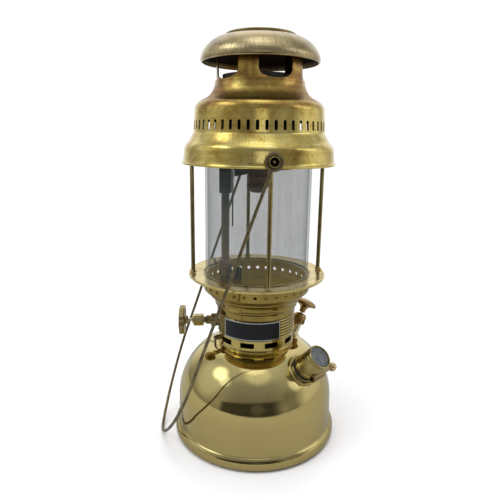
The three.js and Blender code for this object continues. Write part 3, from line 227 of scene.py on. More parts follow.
# Panels: two soft panels light the lantern from the left and from above, aimed at the middle of the collar.
# They don't show in the brass.
aim = Vector((0, 0, 0.18))
for name, place, size, power in (
    ("left_panel", Vector((-0.8, -0.5, 1.1)), 1.0, 7.0),
    ("top_panel", Vector((0.15, 0.1, 1.5)), 1.4, 13.0),
):
    lamp = bpy.data.lights.new(name, "AREA")
    lamp.shape, lamp.size, lamp.size_y, lamp.energy = "RECTANGLE", size, size, power
    panel = bpy.data.objects.new(name, lamp)
    panel.matrix_world = Matrix.LocRotScale(place, (aim - place).to_track_quat("-Z", "Y"), None)
    panel.visible_glossy = False
    bpy.context.collection.objects.link(panel)

# Tank: drawn from one brass sheet, rolled out to a bead at the foot and polished like a mirror.
# The flat bottom is set a little up into the foot, so that the lantern stands on its rim.


def rounded(line, closed=False):
    """Points of radius and height, in which a third number eases that corner by as much."""
    eased = []
    for i, (radius, height, *ease) in enumerate(line):
        here = Vector((radius, height))
        if not ease or (not closed and i in (0, len(line) - 1)):
            eased.append(here)
            continue
        before, after = Vector(line[i - 1][:2]), Vector(line[(i + 1) % len(line)][:2])
        start = here + (before - here).normalized() * min(ease[0], (before - here).length * 0.49)
        end = here + (after - here).normalized() * min(ease[0], (after - here).length * 0.49)
        eased += [start * (1 - t) ** 2 + here * 2 * t * (1 - t) + end * t**2 for t in (0, 0.25, 0.5, 0.75, 1)]
    return eased


def curved(start, over_start, over_end, end, steps):
    """Points of a smooth curve from start to end, which leaves and arrives towards the two others."""
    a, b, c, d = (Vector(p) for p in (start, over_start, over_end, end))
    return [
        tuple(a * (1 - t) ** 3 + 3 * b * t * (1 - t) ** 2 + 3 * c * t**2 * (1 - t) + d * t**3)
        for t in (k / steps for k in range(steps + 1))
    ]


def facing_out(piece, bevel=0.0, hull=False):
    """Every face turned outwards, and the sharp edges eased. A hull first wraps bare points in faces."""
    shape = bmesh.new()
    shape.from_mesh(piece.data)
    if hull:
        bmesh.ops.convex_hull(shape, input=shape.verts)
    bmesh.ops.recalc_face_normals(shape, faces=shape.faces)
    if bevel:
        sharp = [edge for edge in shape.edges if edge.calc_face_angle(0) > 0.3]
        bmesh.ops.bevel(shape, geom=sharp, offset=bevel / 1000, segments=2, affect="EDGES")
    shape.to_mesh(piece.data)
    shape.free()
    return piece


def placed(piece, frame_matrix):
    piece.data.transform(frame_matrix)
    return piece


def turned(name, line, sides=120, frame_matrix=Matrix()):
    """A solid or a ring turned round the Z axis, from a line that ends on the axis or closes on itself."""
    closed = line[0][0] > 0 or line[-1][0] > 0
    vertices, rows, faces = [], [], []
    turns = [k * tau / sides for k in range(sides)]
    for radius, height in rounded(line, closed):
        if abs(radius) < 1e-6:
            rows.append([len(vertices)] * sides)
            vertices.append((0, 0, height))
        else:
            rows.append(list(range(len(vertices), len(vertices) + sides)))
            vertices += [(radius * sin(a), -radius * cos(a), height) for a in turns]
    for low, high in zip(rows, rows[1:] + rows[:1] if closed else rows[1:]):
        for k in range(sides):
            after = (k + 1) % sides
            face = list(dict.fromkeys((low[k], low[after], high[after], high[k])))
            if len(face) > 2:
                faces.append(face)
    return placed(facing_out(mesh_object(name, vertices, faces)), frame_matrix)


def finished(piece, material, slot, body, *nodes_replaced, sharp=32):
    """Smooth shading with crisp edges, the finish, the body that it rides on and the solids it stands for."""
    piece.data.materials.clear()
    piece.data.materials.append(material)
    piece.data.shade_smooth()
    piece.data.set_sharp_from_angle(angle=radians(sharp))
    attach(piece, body)
    if nodes_replaced:
        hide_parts(*nodes_replaced)


def inner_faces(nodes):
    """One where a spun sheet faces its own axis or the ground, and nothing on its outside."""
    from_axis = nodes.vector("NORMALIZE", nodes.vector("MULTIPLY", nodes.place(), (1.0, 1.0, 0.0)))
    facing = nodes.vector("DOT_PRODUCT", from_axis, nodes.place("Normal"), output="Value")
    return nodes.remap(facing, -0.05, -0.15)


def turning(nodes, place):
    """Radius and height, and the two as a place that is the same all round the axis."""
    x, y, height = nodes.split(place)
    radius = nodes.vector("LENGTH", nodes.join(x, y), output="Value")
    return radius, height, nodes.join(radius, 0.0, height)


def round_angle(nodes, place):
    """The angle round the axis, counted from the front."""
    x, y, _ = nodes.split(place)
    return nodes.maths("ARCTAN2", x, nodes.maths("MULTIPLY", y, -1.0))


def chatter_marks(nodes, place):
    """Fine ripples left by the turning tool, each a short way round the axis and long up the wall."""
    sideways = nodes.maths("MULTIPLY", round_angle(nodes, place), 60.0)
    upwards = nodes.maths("MULTIPLY", nodes.split(place)["Z"], 45.0)
    return nodes.noise(nodes.join(sideways, upwards), 1.0)


def brass(name, bright, dull, aged=(0.55, 0.8), gloss=(0.08, 0.2), lines=0.3, line_scale=2600.0, blotch=35.0,
          spots=0.0, waves=0.0, axis=None, inside=None, inside_above=-1.0, soot=0.6, pit_shade=None, grooves=None,
          chatter=0.0):
    """Spun brass: its colour wanders from bright to dull, and turning marks run round the piece's own axis.
    A colour for the inside is laid on the faces that look inwards, above a height, and dulls their metal:
    soot under the cap, a dark tone inside the collar, and painted light, a paler lit tone, inside the
    gallery's bowl. A recess is blackened from one radius to another as painted shade, and grooves are
    darkened below a radius between two heights, as painted shade."""
    material, nodes = new_finish(name)
    place = nodes.place()
    if axis:
        own_frame = {"Vector": place, "Location": axis.to_translation(), "Rotation": axis.to_euler()}
        place = nodes.add("ShaderNodeMapping", own_frame, vector_type="TEXTURE")
    radius, height, ring = turning(nodes, place)
    marks = nodes.noise(ring, line_scale, 3.0, 0.7)
    cloud = nodes.noise(place, blotch, 7.0, 0.62, 0.4)
    fine = nodes.noise(place, blotch * 14, 4.0, 0.6)
    colour = nodes.tint(nodes.remap(nodes.mix(0.3, cloud, fine), *aged), bright, dull)
    if spots:
        speck = nodes.add("ShaderNodeTexVoronoi", {"Vector": place, "Scale": blotch * 4.5})
        colour = nodes.tint(nodes.remap(speck, 0.05, 0.16, spots, 0.0), colour, (0.09, 0.06, 0.03))
    rough = nodes.remap(nodes.mix(0.45, cloud, marks), 0.3, 0.72, *gloss)
    # Painted shade: a recess is blackened between two radii, as a hole in shadow.
    if pit_shade:
        pit_shaded = nodes.remap(radius, pit_shade[0], pit_shade[0] + 0.0002)
        within = nodes.remap(radius, pit_shade[1] - 0.0002, pit_shade[1], 1.0, 0.0)
        colour = nodes.tint(nodes.maths("MULTIPLY", pit_shaded, within), colour, (0.015, 0.01, 0.006))
    # Painted shade: the grooves between ribs are darkened below a radius, between two heights.
    if grooves:
        bed, lowest, highest = grooves
        groove_shade = nodes.remap(radius, bed + 0.0005, bed + 0.0002, high=0.9)
        groove_shade = nodes.maths("MULTIPLY", groove_shade, nodes.maths("GREATER_THAN", height, lowest))
        groove_shade = nodes.maths("MULTIPLY", groove_shade, nodes.maths("LESS_THAN", height, highest))
        colour = nodes.tint(groove_shade, colour, (0.08, 0.05, 0.016))
    metal = 1.0
    # Inner faces: soot under the cap, a dark tone in the collar, and painted light (a paler lit tone) in the
    # gallery's bowl.
    if inside:
        above = nodes.remap(height, inside_above, inside_above + 0.005)
        inner = nodes.maths("MULTIPLY", inner_faces(nodes), above)
        colour = nodes.tint(inner, colour, inside)
        rough = nodes.mix(inner, rough, 0.6)
        metal = nodes.remap(inner, low=1.0, high=1.0 - soot)
    bump = nodes.bump(marks, lines, 0.00002)
    if chatter:
        bump = nodes.bump(chatter_marks(nodes, place), chatter, 0.0002, bump)
    if waves:
        bump = nodes.bump(nodes.noise(place, 28.0, 1.0), waves, 0.002, bump)
    nodes.surface(colour, rough, metal, bump)
    return material


foot_radius, wall_radius, neck_radius = 85, 80.4, 38
tank_bottom, shoulder_foot, tank_top = 1.8, 41, 97.5
mirror_brass = brass(
    "mirror_brass", (0.62, 0.48, 0.19), (0.48, 0.35, 0.12), gloss=(0.04, 0.11), lines=0.12, blotch=22.0,
    spots=0.12, waves=0.16)
shoulder = curved(
    (wall_radius, shoulder_foot), (wall_radius, 71.5), (56.2, tank_top), (neck_radius, tank_top), 30)
tank_line = [
    (0, tank_bottom), (77.2, tank_bottom, 0.8), (79, 0, 0.5), (82, 0, 1.6), (foot_radius, 3, 2),
    (foot_radius, 9.4, 2.5), (82.7, 13.2, 1.5), (81.5, 14.2, 0.6), (81.2, 17.5, 1.5), *shoulder,
    (0, tank_top),
]
finished(turned("tank", tank_line, 160), mirror_brass, "polished_brass", "lantern", "tank_shell")

# Collar: a rolled tube of yellow brass with seven ribs, a row of oblong vents and one soldered seam.
# A slot open to the tank lets the control body in, and the preheater's valve passes beside it.


def begin_shape(name, *sizes):
    """A Geometry Nodes tree that takes a piece, some sizes and a finish."""
    tree = bpy.data.node_groups.new(name, "GeometryNodeTree")
    for label, kind in (("Geometry", "Geometry"), *sizes, ("Finish", "Material")):
        tree.interface.new_socket(label, in_out="INPUT", socket_type="NodeSocket" + kind)
    tree.interface.new_socket("Geometry", in_out="OUTPUT", socket_type="NodeSocketGeometry")
    return Nodes(tree), tree.nodes.new("NodeGroupInput").outputs


def end_shape(nodes, given, geometry, weld=None):
    """What the tree gives: real copies, welded where they meet, with one finish."""
    made = nodes.add("GeometryNodeRealizeInstances", {"Geometry": geometry})
    if weld:
        made = nodes.add("GeometryNodeMergeByDistance", {"Geometry": made, "Distance": weld})
    made = nodes.add("GeometryNodeSetMaterial", {"Geometry": made, "Material": given["Finish"]})
    nodes.add("NodeGroupOutput", {"Geometry": made})
    return nodes.tree


def set_round_tree():
    """Copies of a piece set at equal steps round the Z axis."""
    nodes, given = begin_shape(
        "set_round_the_axis", ("Places", "Int"), ("Copies", "Int"), ("First turn", "Float"))
    spots = nodes.add("GeometryNodePoints", {"Count": given["Copies"]})
    step = nodes.maths("DIVIDE", tau, given["Places"])
    angle = nodes.maths("MULTIPLY_ADD", nodes.add("GeometryNodeInputIndex"), step, given["First turn"])
    copies = nodes.add("GeometryNodeInstanceOnPoints", {
        "Points": spots, "Instance": given["Geometry"], "Rotation": nodes.join(0.0, 0.0, angle)})
    return end_shape(nodes, given, copies, weld=0.00001)


def made_mesh(piece):
    """The mesh that a piece shows, with its modifiers worked in."""
    return bpy.data.meshes.new_from_object(piece.evaluated_get(bpy.context.evaluated_depsgraph_get()))


def baked(piece):
    result = made_mesh(piece)
    piece.modifiers.clear()
    piece.data = result
    return piece


def with_inputs(piece, tree, **values):
    modifier = piece.modifiers.new(tree.name, "NODES")
    modifier.node_group = tree
    for socket in tree.interface.items_tree:
        name = socket.name.replace(" ", "_").lower()
        if socket.in_out == "INPUT" and name in values:
            modifier[socket.identifier] = values[name]
    return baked(piece)


set_round_the_axis = set_round_tree()


def set_round(piece, places, finish, copies=None, first=0.0):
    return with_inputs(
        piece, set_round_the_axis, places=places, copies=copies or places, first_turn=first, finish=finish)


def strip(low, high):
    """The faces between two rows of points."""
    return [(low[k], low[k + 1], high[k + 1], high[k]) for k in range(len(low) - 1)]


def sector(name, rows, places, columns, hole=None):
    """One of many equal sectors of a spun sheet, facing the front. A hole is the row that it lies above,
    half its straight width and height, and the radius of its corners."""
    half = pi / places
    turns = [half * (2 * k / columns - 1) for k in range(columns + 1)]
    vertices, faces = [], []

    def vertex(angle, radius, height):
        vertices.append((radius * sin(angle), -radius * cos(angle), height))
        return len(vertices) - 1

    grid = [[vertex(angle, radius, height) for angle in turns] for radius, height in rows]
    for i, (low, high) in enumerate(zip(grid, grid[1:])):
        if not hole or i != hole[0]:
            faces += strip(low, high)
    if hole:
        row, straight_x, straight_z, corner = hole
        (radius_low, z_low), (radius_high, z_high) = rows[row], rows[row + 1]
        mean, middle, tall = (radius_low + radius_high) / 2, (z_low + z_high) / 2, (z_high - z_low) / 2
        wide, side_steps, rings = half * mean, 8, 4

        def on_sheet(x, z):
            share = (z - z_low) / (z_high - z_low)
            return vertex(x / mean, radius_low + (radius_high - radius_low) * share, z)

        levels = [z_low + (z_high - z_low) * k / side_steps for k in range(1, side_steps)]
        border = [(t * mean, z_low, v) for t, v in zip(turns, grid[row])]
        border += [(wide, z, on_sheet(wide, z)) for z in levels]
        border += [(t * mean, z_high, v) for t, v in reversed(list(zip(turns, grid[row + 1])))]
        border += [(-wide, z, on_sheet(-wide, z)) for z in reversed(levels)]
        outer, count = [v for _, _, v in border], len(border)
        for ring in range(1, rings + 1):
            inner = []
            for x, z, _ in border:
                edge = Vector(((straight_x + corner) * x / wide, (straight_z + corner) * (z - middle) / tall))
                core = Vector((copysign(straight_x, edge.x), copysign(straight_z, edge.y)))
                if abs(edge.x) > straight_x and abs(edge.y) > straight_z:
                    edge = core + (edge - core).normalized() * corner
                at = Vector((x, z - middle)).lerp(edge, (ring / rings) ** 0.8)
                inner.append(on_sheet(at.x, at.y + middle))
            for k in range(count):
                after = (k + 1) % count
                faces.append((outer[k], outer[after], inner[after], inner[k]))
            outer = inner
    return mesh_object(name, vertices, faces)


def thickened(piece, wall):
    """A wall behind the sheet's outer face."""
    thicken = piece.modifiers.new("wall", "SOLIDIFY")
    thicken.thickness, thicken.offset, thicken.use_even_offset = wall / 1000, -1, True
    return baked(piece)


def cut_by(piece, tool):
    taken = piece.modifiers.new("cut", "BOOLEAN")
    taken.operation, taken.solver, taken.object = "DIFFERENCE", "MANIFOLD", tool
    baked(piece)
    bpy.data.objects.remove(tool)


def block(name, low, high, spin=0.0):
    """A cutting block, turned about the lantern's axis."""
    corners = [(x, y, z) for x in (low[0], high[0]) for y in (low[1], high[1]) for z in (low[2], high[2])]
    sides = [(0, 1, 3, 2), (4, 6, 7, 5), (0, 4, 5, 1), (2, 3, 7, 6), (0, 2, 6, 4), (1, 5, 7, 3)]
    return placed(mesh_object(name, corners, sides), Matrix.Rotation(spin, 4, "Z"))


def merged(piece, other):
    """The other piece's mesh is welded into this one."""
    shape = bmesh.new()
    shape.from_mesh(piece.data)
    shape.from_mesh(other.data)
    bmesh.ops.remove_doubles(shape, verts=shape.verts, dist=0.00001)
    shape.to_mesh(piece.data)
    shape.free()
    bpy.data.objects.remove(other)
    return piece


collar_radius, collar_wall, collar_foot, collar_top = 38.9, 1.2, 97.8, 133.7
ribs, rib_height, rib_pitch, lowest_rib, steps_per_rib = 7, 1.1, 20.6 / 7, 112.4, 8
vent_sectors, vent_row, vent_half_width, vent_half_height, vent_corner = 10, 5, 6.2, 1.9, 0.8
fuel_azimuth, seam_azimuth, seam_half_width, seam_sink = radians(-96.5), radians(-38.8), 0.7, 0.99
# The grooves between the ribs are darkened: painted shade. The inner faces get a dark tone.
collar_brass = brass(
    "collar_brass", (0.62, 0.48, 0.16), (0.34, 0.22, 0.07), (0.46, 0.7), gloss=(0.09, 0.22), lines=0.2,
    blotch=60.0, spots=0.3, inside=(0.06, 0.035, 0.015), grooves=(0.0392, 0.1122, 0.1332))
rib_rows = [
    (collar_radius + rib_height * sin(pi * share) ** 2, lowest_rib + rib_pitch * share)
    for share in (k / steps_per_rib for k in range(ribs * steps_per_rib + 1))
]
collar_rows = [
    (collar_radius, collar_foot), (collar_radius, 99), (39.4, 99.6), (39.4, 100.6), (collar_radius, 101.2),
    (collar_radius, 103), (collar_radius, 111.6), *rib_rows, (collar_radius, collar_top),
]
vent = (vent_row, vent_half_width, vent_half_height, vent_corner)
collar = sector("collar", collar_rows, vent_sectors, 24, hole=vent)
first_vent = radians(14.5)
plain_azimuth = first_vent - 3 * tau / vent_sectors
set_round(collar, vent_sectors, collar_brass, vent_sectors - 1, plain_azimuth + tau / vent_sectors)
plain = sector("plain_sector", collar_rows, vent_sectors, 24)
merged(collar, placed(plain, Matrix.Rotation(plain_azimuth, 4, "Z")))
for point in collar.data.vertices:
    away = atan2(point.co.x, -point.co.y) - seam_azimuth
    if abs(away) * collar_radius < seam_half_width:
        point.co.x, point.co.y = point.co.x * seam_sink, point.co.y * seam_sink
thickened(collar, collar_wall)
body_slot_half, body_slot_top = 7.2, 121
cut_by(collar, block("slot", (-body_slot_half, -45, 97), (body_slot_half, -33, body_slot_top), fuel_azimuth))
finished(collar, collar_brass, "yellow_brass", "lantern", "ribbed_collar", sharp=50)

# Plate: a small curved plate of black enamelled sheet inside a bare metal border, held against the ribs.
# Its face is plain, with the enamel a little scuffed.
plate_middle, plate_half = radians(-15.5), radians(42)
plate_radius, plate_wall, plate_edge, plate_foot, plate_top = 41, 0.6, 0.3, 113.6, 132.4
plate_enamel, nodes = new_finish("plate_enamel")
place = nodes.place()
azimuth = nodes.maths("SUBTRACT", round_angle(nodes, place), plate_middle)
to_side = nodes.maths("SUBTRACT", plate_half, nodes.maths("ABSOLUTE", azimuth))
to_side = nodes.maths("MULTIPLY", to_side, plate_radius / 1000)
height = nodes.maths("SUBTRACT", nodes.split(place)["Z"], (plate_foot + plate_top) / 2000)
to_edge = nodes.maths("SUBTRACT", (plate_top - plate_foot + 0.2) / 2000, nodes.maths("ABSOLUTE", height))
scuff = nodes.noise(place, 900.0, 4.0)
ragged = nodes.maths("MULTIPLY_ADD", scuff, 0.0003, nodes.maths("MINIMUM", to_side, to_edge))
border = nodes.ramp(
    nodes.remap(ragged, 0.0, 0.0025), (0.0, 0.0), (0.18, 0.0), (0.22, 1.0), (0.52, 1.0), (0.56, 0.0),
    (1.0, 0.0))
worn = nodes.ramp(scuff, (0.0, 0.0), (0.7, 0.0), (0.8, 0.2), (1.0, 0.3))
bare = nodes.maths("MAXIMUM", border, worn)
colour = nodes.tint(bare, (0.012, 0.012, 0.014), (0.55, 0.56, 0.55))
rough = nodes.remap(scuff, low=0.18, high=0.45)
nodes.surface(colour, rough, bare, nodes.bump(bare, 0.5, 0.0001), specular=0.25)
plate_rows = [
    (plate_radius - plate_edge, plate_foot), (plate_radius, plate_foot + plate_edge),
    *[(plate_radius, plate_foot + 0.9 + k * 1.7) for k in range(11)],
    (plate_radius, plate_top - plate_edge), (plate_radius - plate_edge, plate_top),
]
plate = placed(sector("plate", plate_rows, pi / plate_half, 48), Matrix.Rotation(plate_middle, 4, "Z"))
finished(thickened(plate, plate_wall), plate_enamel, "black_enamel", "lantern", "name_plate", sharp=40)

# Gallery: a spun brass bowl with a ring of air holes that stands on the collar, and a wide rim with a turned
# edge. Inside it lie a flat floor with a draught hole and the ledge that the globe stands on.
air_holes, air_hole_radius, bowl_radius, bowl_wall, rim_radius = 34, 1.75, 54.2, 1, 68.7
# The bowl's inside is painted a paler, half matte yellow than its outside: painted light, as of light falling
# into the bowl.
gallery_brass = brass(
    "gallery_brass", (0.38, 0.275, 0.075), (0.22, 0.135, 0.04), (0.46, 0.74), gloss=(0.06, 0.2), blotch=45.0,
    spots=0.3, inside=(0.78, 0.58, 0.13), soot=0.5)
rim_brass = brass(
    "rim_brass", (0.78, 0.6, 0.24), (0.5, 0.35, 0.12), (0.44, 0.7), gloss=(0.12, 0.3), lines=0.5, blotch=55.0,
    spots=0.4)
# The draught floor is made brighter than the other brass: painted light inside the bowl.
floor_brass = brass(
    "floor_brass", (0.95, 0.72, 0.22), (0.62, 0.43, 0.13), (0.42, 0.68), gloss=(0.2, 0.4), spots=0.5)
low_bead = curved((41, 139.9), (42.6, 140), (42.8, 142.6), (41.9, 143.1), 6)
funnel = curved((42, 144), (42.4, 147), (43.6, 148.6), (46, 149.8), 6)
high_bead = curved((46.8, 149.8), (48.2, 150), (48.6, 152.2), (48.2, 152.7), 5)
flare = curved((48.8, 153.4), (51.4, 154.3), (bowl_radius, 156), (bowl_radius, 158.6), 8)
bowl_rows = [
    (40.2, 134), (40.2, 138), (40.4, 139.4), *low_bead, *funnel, *high_bead, *flare,
    (bowl_radius, 159.2), (bowl_radius, 164.8), (bowl_radius, 169), (bowl_radius, 173.4),
]
air_hole = (len(bowl_rows) - 4, 0, 0, air_hole_radius)
bowl = set_round(sector("gallery_bowl_sheet", bowl_rows, air_holes, 6, air_hole), air_holes, gallery_brass)
finished(thickened(bowl, bowl_wall), gallery_brass, "yellow_brass", "lantern", "gallery_bowl", sharp=45)
rim_line = [
    (54.5, 172.4, 0.1), (67, 172.4, 0.4), (67.6, 170.8, 0.4), (68.4, 170.8, 0.4), (rim_radius, 172, 0.6),
    (rim_radius, 173.4, 0.5), (66.6, 173.4, 0.4), (66, 173, 0.4), (54.5, 173, 0.1),
]
finished(turned("gallery_edge", rim_line, 160), rim_brass, "yellow_brass", "lantern", "gallery_rim")
floor_line = [(13, 137), (38.9, 137, 0.2), (38.9, 138, 0.2), (14.4, 138, 0.5), (14, 140, 0.3), (13, 140, 0.3)]
finished(turned("draught_floor", floor_line, 96), floor_brass, "aged_brass", "lantern", "gallery_floor")
ledge_line = [(48.9, 171.4, 0.3), (52.9, 171.4, 0.2), (52.9, 172.4, 0.2), (48.9, 172.4, 0.3)]
finished(turned("globe_ledge", ledge_line), gallery_brass, "aged_brass", "lantern", "globe_seat")

# Globe: a plain cylinder of clear heat-proof glass with fire-polished rims, a little greyed by years of soot.
# It stands loose on its ledge.


def grazing(nodes, at_edge):
    """How much of what is behind a glass face it covers: little when seen square on, more at its edge."""
    slant = nodes.add("ShaderNodeLayerWeight", {"Blend": 0.5}, "Facing")
    return nodes.maths("MULTIPLY", nodes.maths("POWER", slant, 5.0), at_edge)


globe_inner, globe_outer, globe_foot, globe_top, fire_polish = 49.8, 52, 172.7, 286.7, 0.9
globe_glass, nodes = new_finish("sooted_glass")
place = nodes.place()
stretched = nodes.add("ShaderNodeMapping", {"Vector": place, "Scale": (160.0, 160.0, 9.0)})
film = nodes.mix(0.5, nodes.noise(place, 26.0, 5.0, 0.6), nodes.noise(stretched, 1.0, 4.0))
veil = nodes.remap(film, 0.35, 0.7, 0.21, 0.27)
cover = nodes.maths("ADD", grazing(nodes, 0.6), veil, clamp=True)
nodes.surface((0.12, 0.145, 0.13), nodes.remap(film, low=0.02, high=0.1), Alpha=cover, IOR=1.5)
globe_line = [
    (globe_inner, globe_foot, fire_polish), (globe_outer, globe_foot, fire_polish),
    (globe_outer, globe_top, fire_polish), (globe_inner, globe_top, fire_polish),
]
finished(turned("globe", globe_line, 160), globe_glass, "clear_glass", "lantern", "globe_glass", sharp=60)

# Cage: four brass rods with small feet, from the gallery's rim to the flat ring that carries the hood.
# The front and back rods also hold the pivot studs.
cage_rods, rod_radius, rod_circle = 4, 2, 64.3
rod_brass = brass(
    "rod_brass", (0.5, 0.38, 0.15), (0.2, 0.14, 0.06), (0.45, 0.7), gloss=(0.12, 0.32), lines=0.25,
    blotch=80.0, spots=0.3)
rod_line = [
    (0, 173.7), (3.2, 173.7, 0.3), (3.2, 175.2, 0.6), (rod_radius, 175.6, 0.5), (rod_radius, 295.4, 0.3),
    (0, 295.6),
]
rods = turned("cage_rods", rod_line, 20, Matrix.Translation((0, -rod_circle / 1000, 0)))
set_round(rods, cage_rods, rod_brass)
rod_nodes = ["cage_rod_" + side for side in ("front", "right", "back", "left")]
finished(rods, rod_brass, "yellow_brass", "lantern", *rod_nodes)
ring_line = [(61.8, 296, 0.5), (66.4, 296, 0.5), (66.4, 299.6, 0.5), (61.8, 299.6, 0.5)]
finished(turned("hood_ring", ring_line), rod_brass, "aged_brass", "lantern", "cage_ring")

# Hood: one brass sheet spun to a skirt with a rolled bead, a band pierced by fifty slots, a shoulder and a
# neck. Heat has browned it from the shoulder up. Two notches in the skirt drop over the pivot studs.
hood_slots, slot_half_height, slot_corner, hood_wall = 50, 2.9, 1.4, 0.9
notch_half, notch_top = 3.5, 290.4
hood_brass, nodes = new_finish("hood_brass")
place = nodes.place()
_, height, ring = turning(nodes, place)
marks = nodes.noise(ring, 2400.0, 3.0, 0.7)
cloud = nodes.mix(0.25, nodes.noise(place, 34.0, 8.0, 0.7, 0.8), nodes.noise(ring, 260.0))
stain = nodes.noise(place, 210.0, 5.0, 0.7)
browned = nodes.maths("ADD", cloud, nodes.remap(height, 0.322, 0.362, -0.04, 0.17))
colour = nodes.ramp(
    browned, (0.36, (0.86, 0.68, 0.24)), (0.46, (0.74, 0.54, 0.15)), (0.52, (0.62, 0.42, 0.1)),
    (0.58, (0.52, 0.31, 0.08)), (0.67, (0.36, 0.18, 0.05)), (0.85, (0.2, 0.12, 0.05)))
spotted = nodes.ramp(stain, (0.0, 0.0), (0.58, 0.0), (0.68, 0.55), (1.0, 0.85))
pale_wear = nodes.ramp(stain, (0.0, 0.5), (0.34, 0.3), (0.42, 0.0), (1.0, 0.0))
colour = nodes.tint(spotted, colour, (0.2, 0.12, 0.045))
colour = nodes.tint(pale_wear, colour, (0.7, 0.6, 0.3))
dulled = nodes.ramp(
    nodes.remap(height, 0.33, 0.36), (0.0, 0.0), (0.2, 0.02), (0.34, 0.3), (0.52, 0.3), (0.72, 0.05),
    (1.0, 0.05))
rough = nodes.remap(nodes.mix(0.5, browned, marks), 0.3, 0.8, 0.04, 0.28)
rough = nodes.maths("ADD", rough, dulled)
bump = nodes.bump(marks, 0.35, 0.00002)
bump = nodes.bump(chatter_marks(nodes, place), 0.3, 0.0002, bump)
bump = nodes.bump(nodes.noise(place, 34.0, 1.0), 0.26, 0.002, bump)
inner = inner_faces(nodes)
nodes.surface(nodes.tint(inner, colour, (0.035, 0.02, 0.012)), nodes.mix(inner, rough, 0.65), 1.0, bump)
slot_foot, slot_top = (62.4, 310.8), (61.75, 322)
hood_rows = [
    (72.5, 280.8), (72.9, 280.7), (73.4, 281), (73.7, 281.6), (73.5, 282.3), (73, 282.8), (72.6, 283.6),
    (72.2, 286), (71.7, 290), *curved((71.3, 293.6), (71.2, 297.2), (70, 299), (67, 301.8), 8), (64.8, 305.7),
    *curved((63.4, 308.2), (62.6, 309.6), (62.45, 309.8), slot_foot, 3), slot_top, (61.5, 326),
    *curved((61.4, 328.4), (61.2, 334.2), (58.6, 337.2), (52.6, 339.9), 12),
    *curved((51, 340.7), (46, 343.4), (43.2, 347), (41.6, 356.2), 12),
]
slot = (hood_rows.index(slot_top) - 1, 0, slot_half_height, slot_corner)
hood = sector("hood", hood_rows, hood_slots, 4, slot)
thickened(set_round(hood, hood_slots, hood_brass, first=pi / hood_slots), hood_wall)
for spin in (0, pi):
    cut_by(hood, block("notch", (-notch_half, -76, 279), (notch_half, -68, notch_top), spin))
finished(hood, hood_brass, "aged_brass", "hood", "hood_shell", sharp=45)

# Chimney: the neck goes on up as a brass tube with five round-bottomed windows between pillars.
# Each pillar is stiffened by a pressed flute.
windows, window_half, first_window, sill_ends, sill_dip = 5, radians(23), radians(11.5), 363.4, 7
chimney_radius, chimney_wall, chimney_foot, chimney_top = 40.5, 1, 349.5, 390.6
flute_foot, flute_run_out, flute_half_width, flute_depth = 357.5, 3, 2.5, 0.45


def fluted(angle, height):
    """The tube's radius, a little less in the flute along the middle of each pillar."""
    beside = (pi / windows - abs(angle)) * chimney_radius / flute_half_width
    along = min(1.0, max(0.0, (height - flute_foot) / flute_run_out))
    return chimney_radius - flute_depth * along * max(0.0, 1 - beside**2)


def window_sector():
    pillar_half, pillar_steps, window_steps, rows = pi / windows - window_half, 14, 32, 12
    turns = [pillar_half * k / pillar_steps - pi / windows for k in range(pillar_steps)]
    turns += [window_half * (2 * k / window_steps - 1) for k in range(window_steps + 1)]
    turns += [window_half + pillar_half * k / pillar_steps for k in range(1, pillar_steps + 1)]
    vertices, faces = [], []

    def vertex(angle, height):
        radius = fluted(angle, height)
        vertices.append((radius * sin(angle), -radius * cos(angle), height))
        return len(vertices) - 1

    dips = [sill_dip * sqrt(max(0.0, 1 - (angle / window_half) ** 2)) for angle in turns]
    climbs = [sill_ends - dip - chimney_foot for dip in dips]
    grid = [
        [vertex(angle, chimney_foot + climb * row / rows) for angle, climb in zip(turns, climbs)]
        for row in range(rows + 1)
    ]
    for low, high in zip(grid, grid[1:]):
        faces += strip(low, high)
    for pillar in (slice(pillar_steps + 1), slice(-pillar_steps - 1, None)):
        below = grid[-1][pillar]
        for row in range(1, rows + 1):
            height = sill_ends + (chimney_top - sill_ends) * row / rows
            level = [vertex(angle, height) for angle in turns[pillar]]
            faces += strip(below, level)
            below = level
    return mesh_object("chimney", vertices, faces)


chimney = set_round(window_sector(), windows, hood_brass, first=first_window)
finished(thickened(chimney, chimney_wall), hood_brass, "aged_brass", "hood", "hood_chimney", sharp=45)

# Cap: a deep lid of paler brushed brass, spun with a thin rolled lip and set over the chimney's pillars.
# A smaller crowned plate is fixed on top of it.
cap_brass = brass(
    "cap_brass", (0.66, 0.5, 0.26), (0.36, 0.26, 0.12), (0.42, 0.64), gloss=(0.05, 0.17), lines=0.8,
    line_scale=1500.0, blotch=30.0, spots=0.4, inside=(0.02, 0.014, 0.01), inside_above=0.3725, soot=0.2,
    chatter=1.2)
crown_brass = brass(
    "crown_brass", (0.4, 0.29, 0.12), (0.24, 0.16, 0.06), (0.42, 0.7), gloss=(0.16, 0.36), lines=0.6,
    blotch=40.0, spots=0.35)
cap_steps, cap_lip_wall, cap_crown_wall, cap_height = 16, 0.5, 0.9, 394
cap_outside = curved((55.4, 374), (55.4, 383.1), (43.3, cap_height), (34.5, cap_height), cap_steps)
cap_inside = [
    (radius - cap_lip_wall * (1 + k / cap_steps), height - cap_crown_wall)
    for k, (radius, height) in enumerate(cap_outside)
]
cap_line = [
    (0, 393), *reversed(cap_inside), (53.4, 372.4, 0.3), (53.8, 372, 0.3), (55, 372.5, 0.5), *cap_outside,
    (32, cap_height), (0, cap_height),
]
finished(turned("cap", cap_line, 160), cap_brass, "satin_brass", "hood", "hood_cap")
crown_line = [
    (0, 394.3), (31.6, 394.3, 0.4), (32.7, 395.2, 0.6), (32.7, 396.6, 0.7), (31.2, 397.4, 0.5),
    (29.8, 397.2, 0.6), (28.6, 397.9, 0.6), (16, 399.3, 4), (0, 399.9),
]
finished(turned("top_plate", crown_line, 160), crown_brass, "satin_brass", "hood", "hood_top_plate")

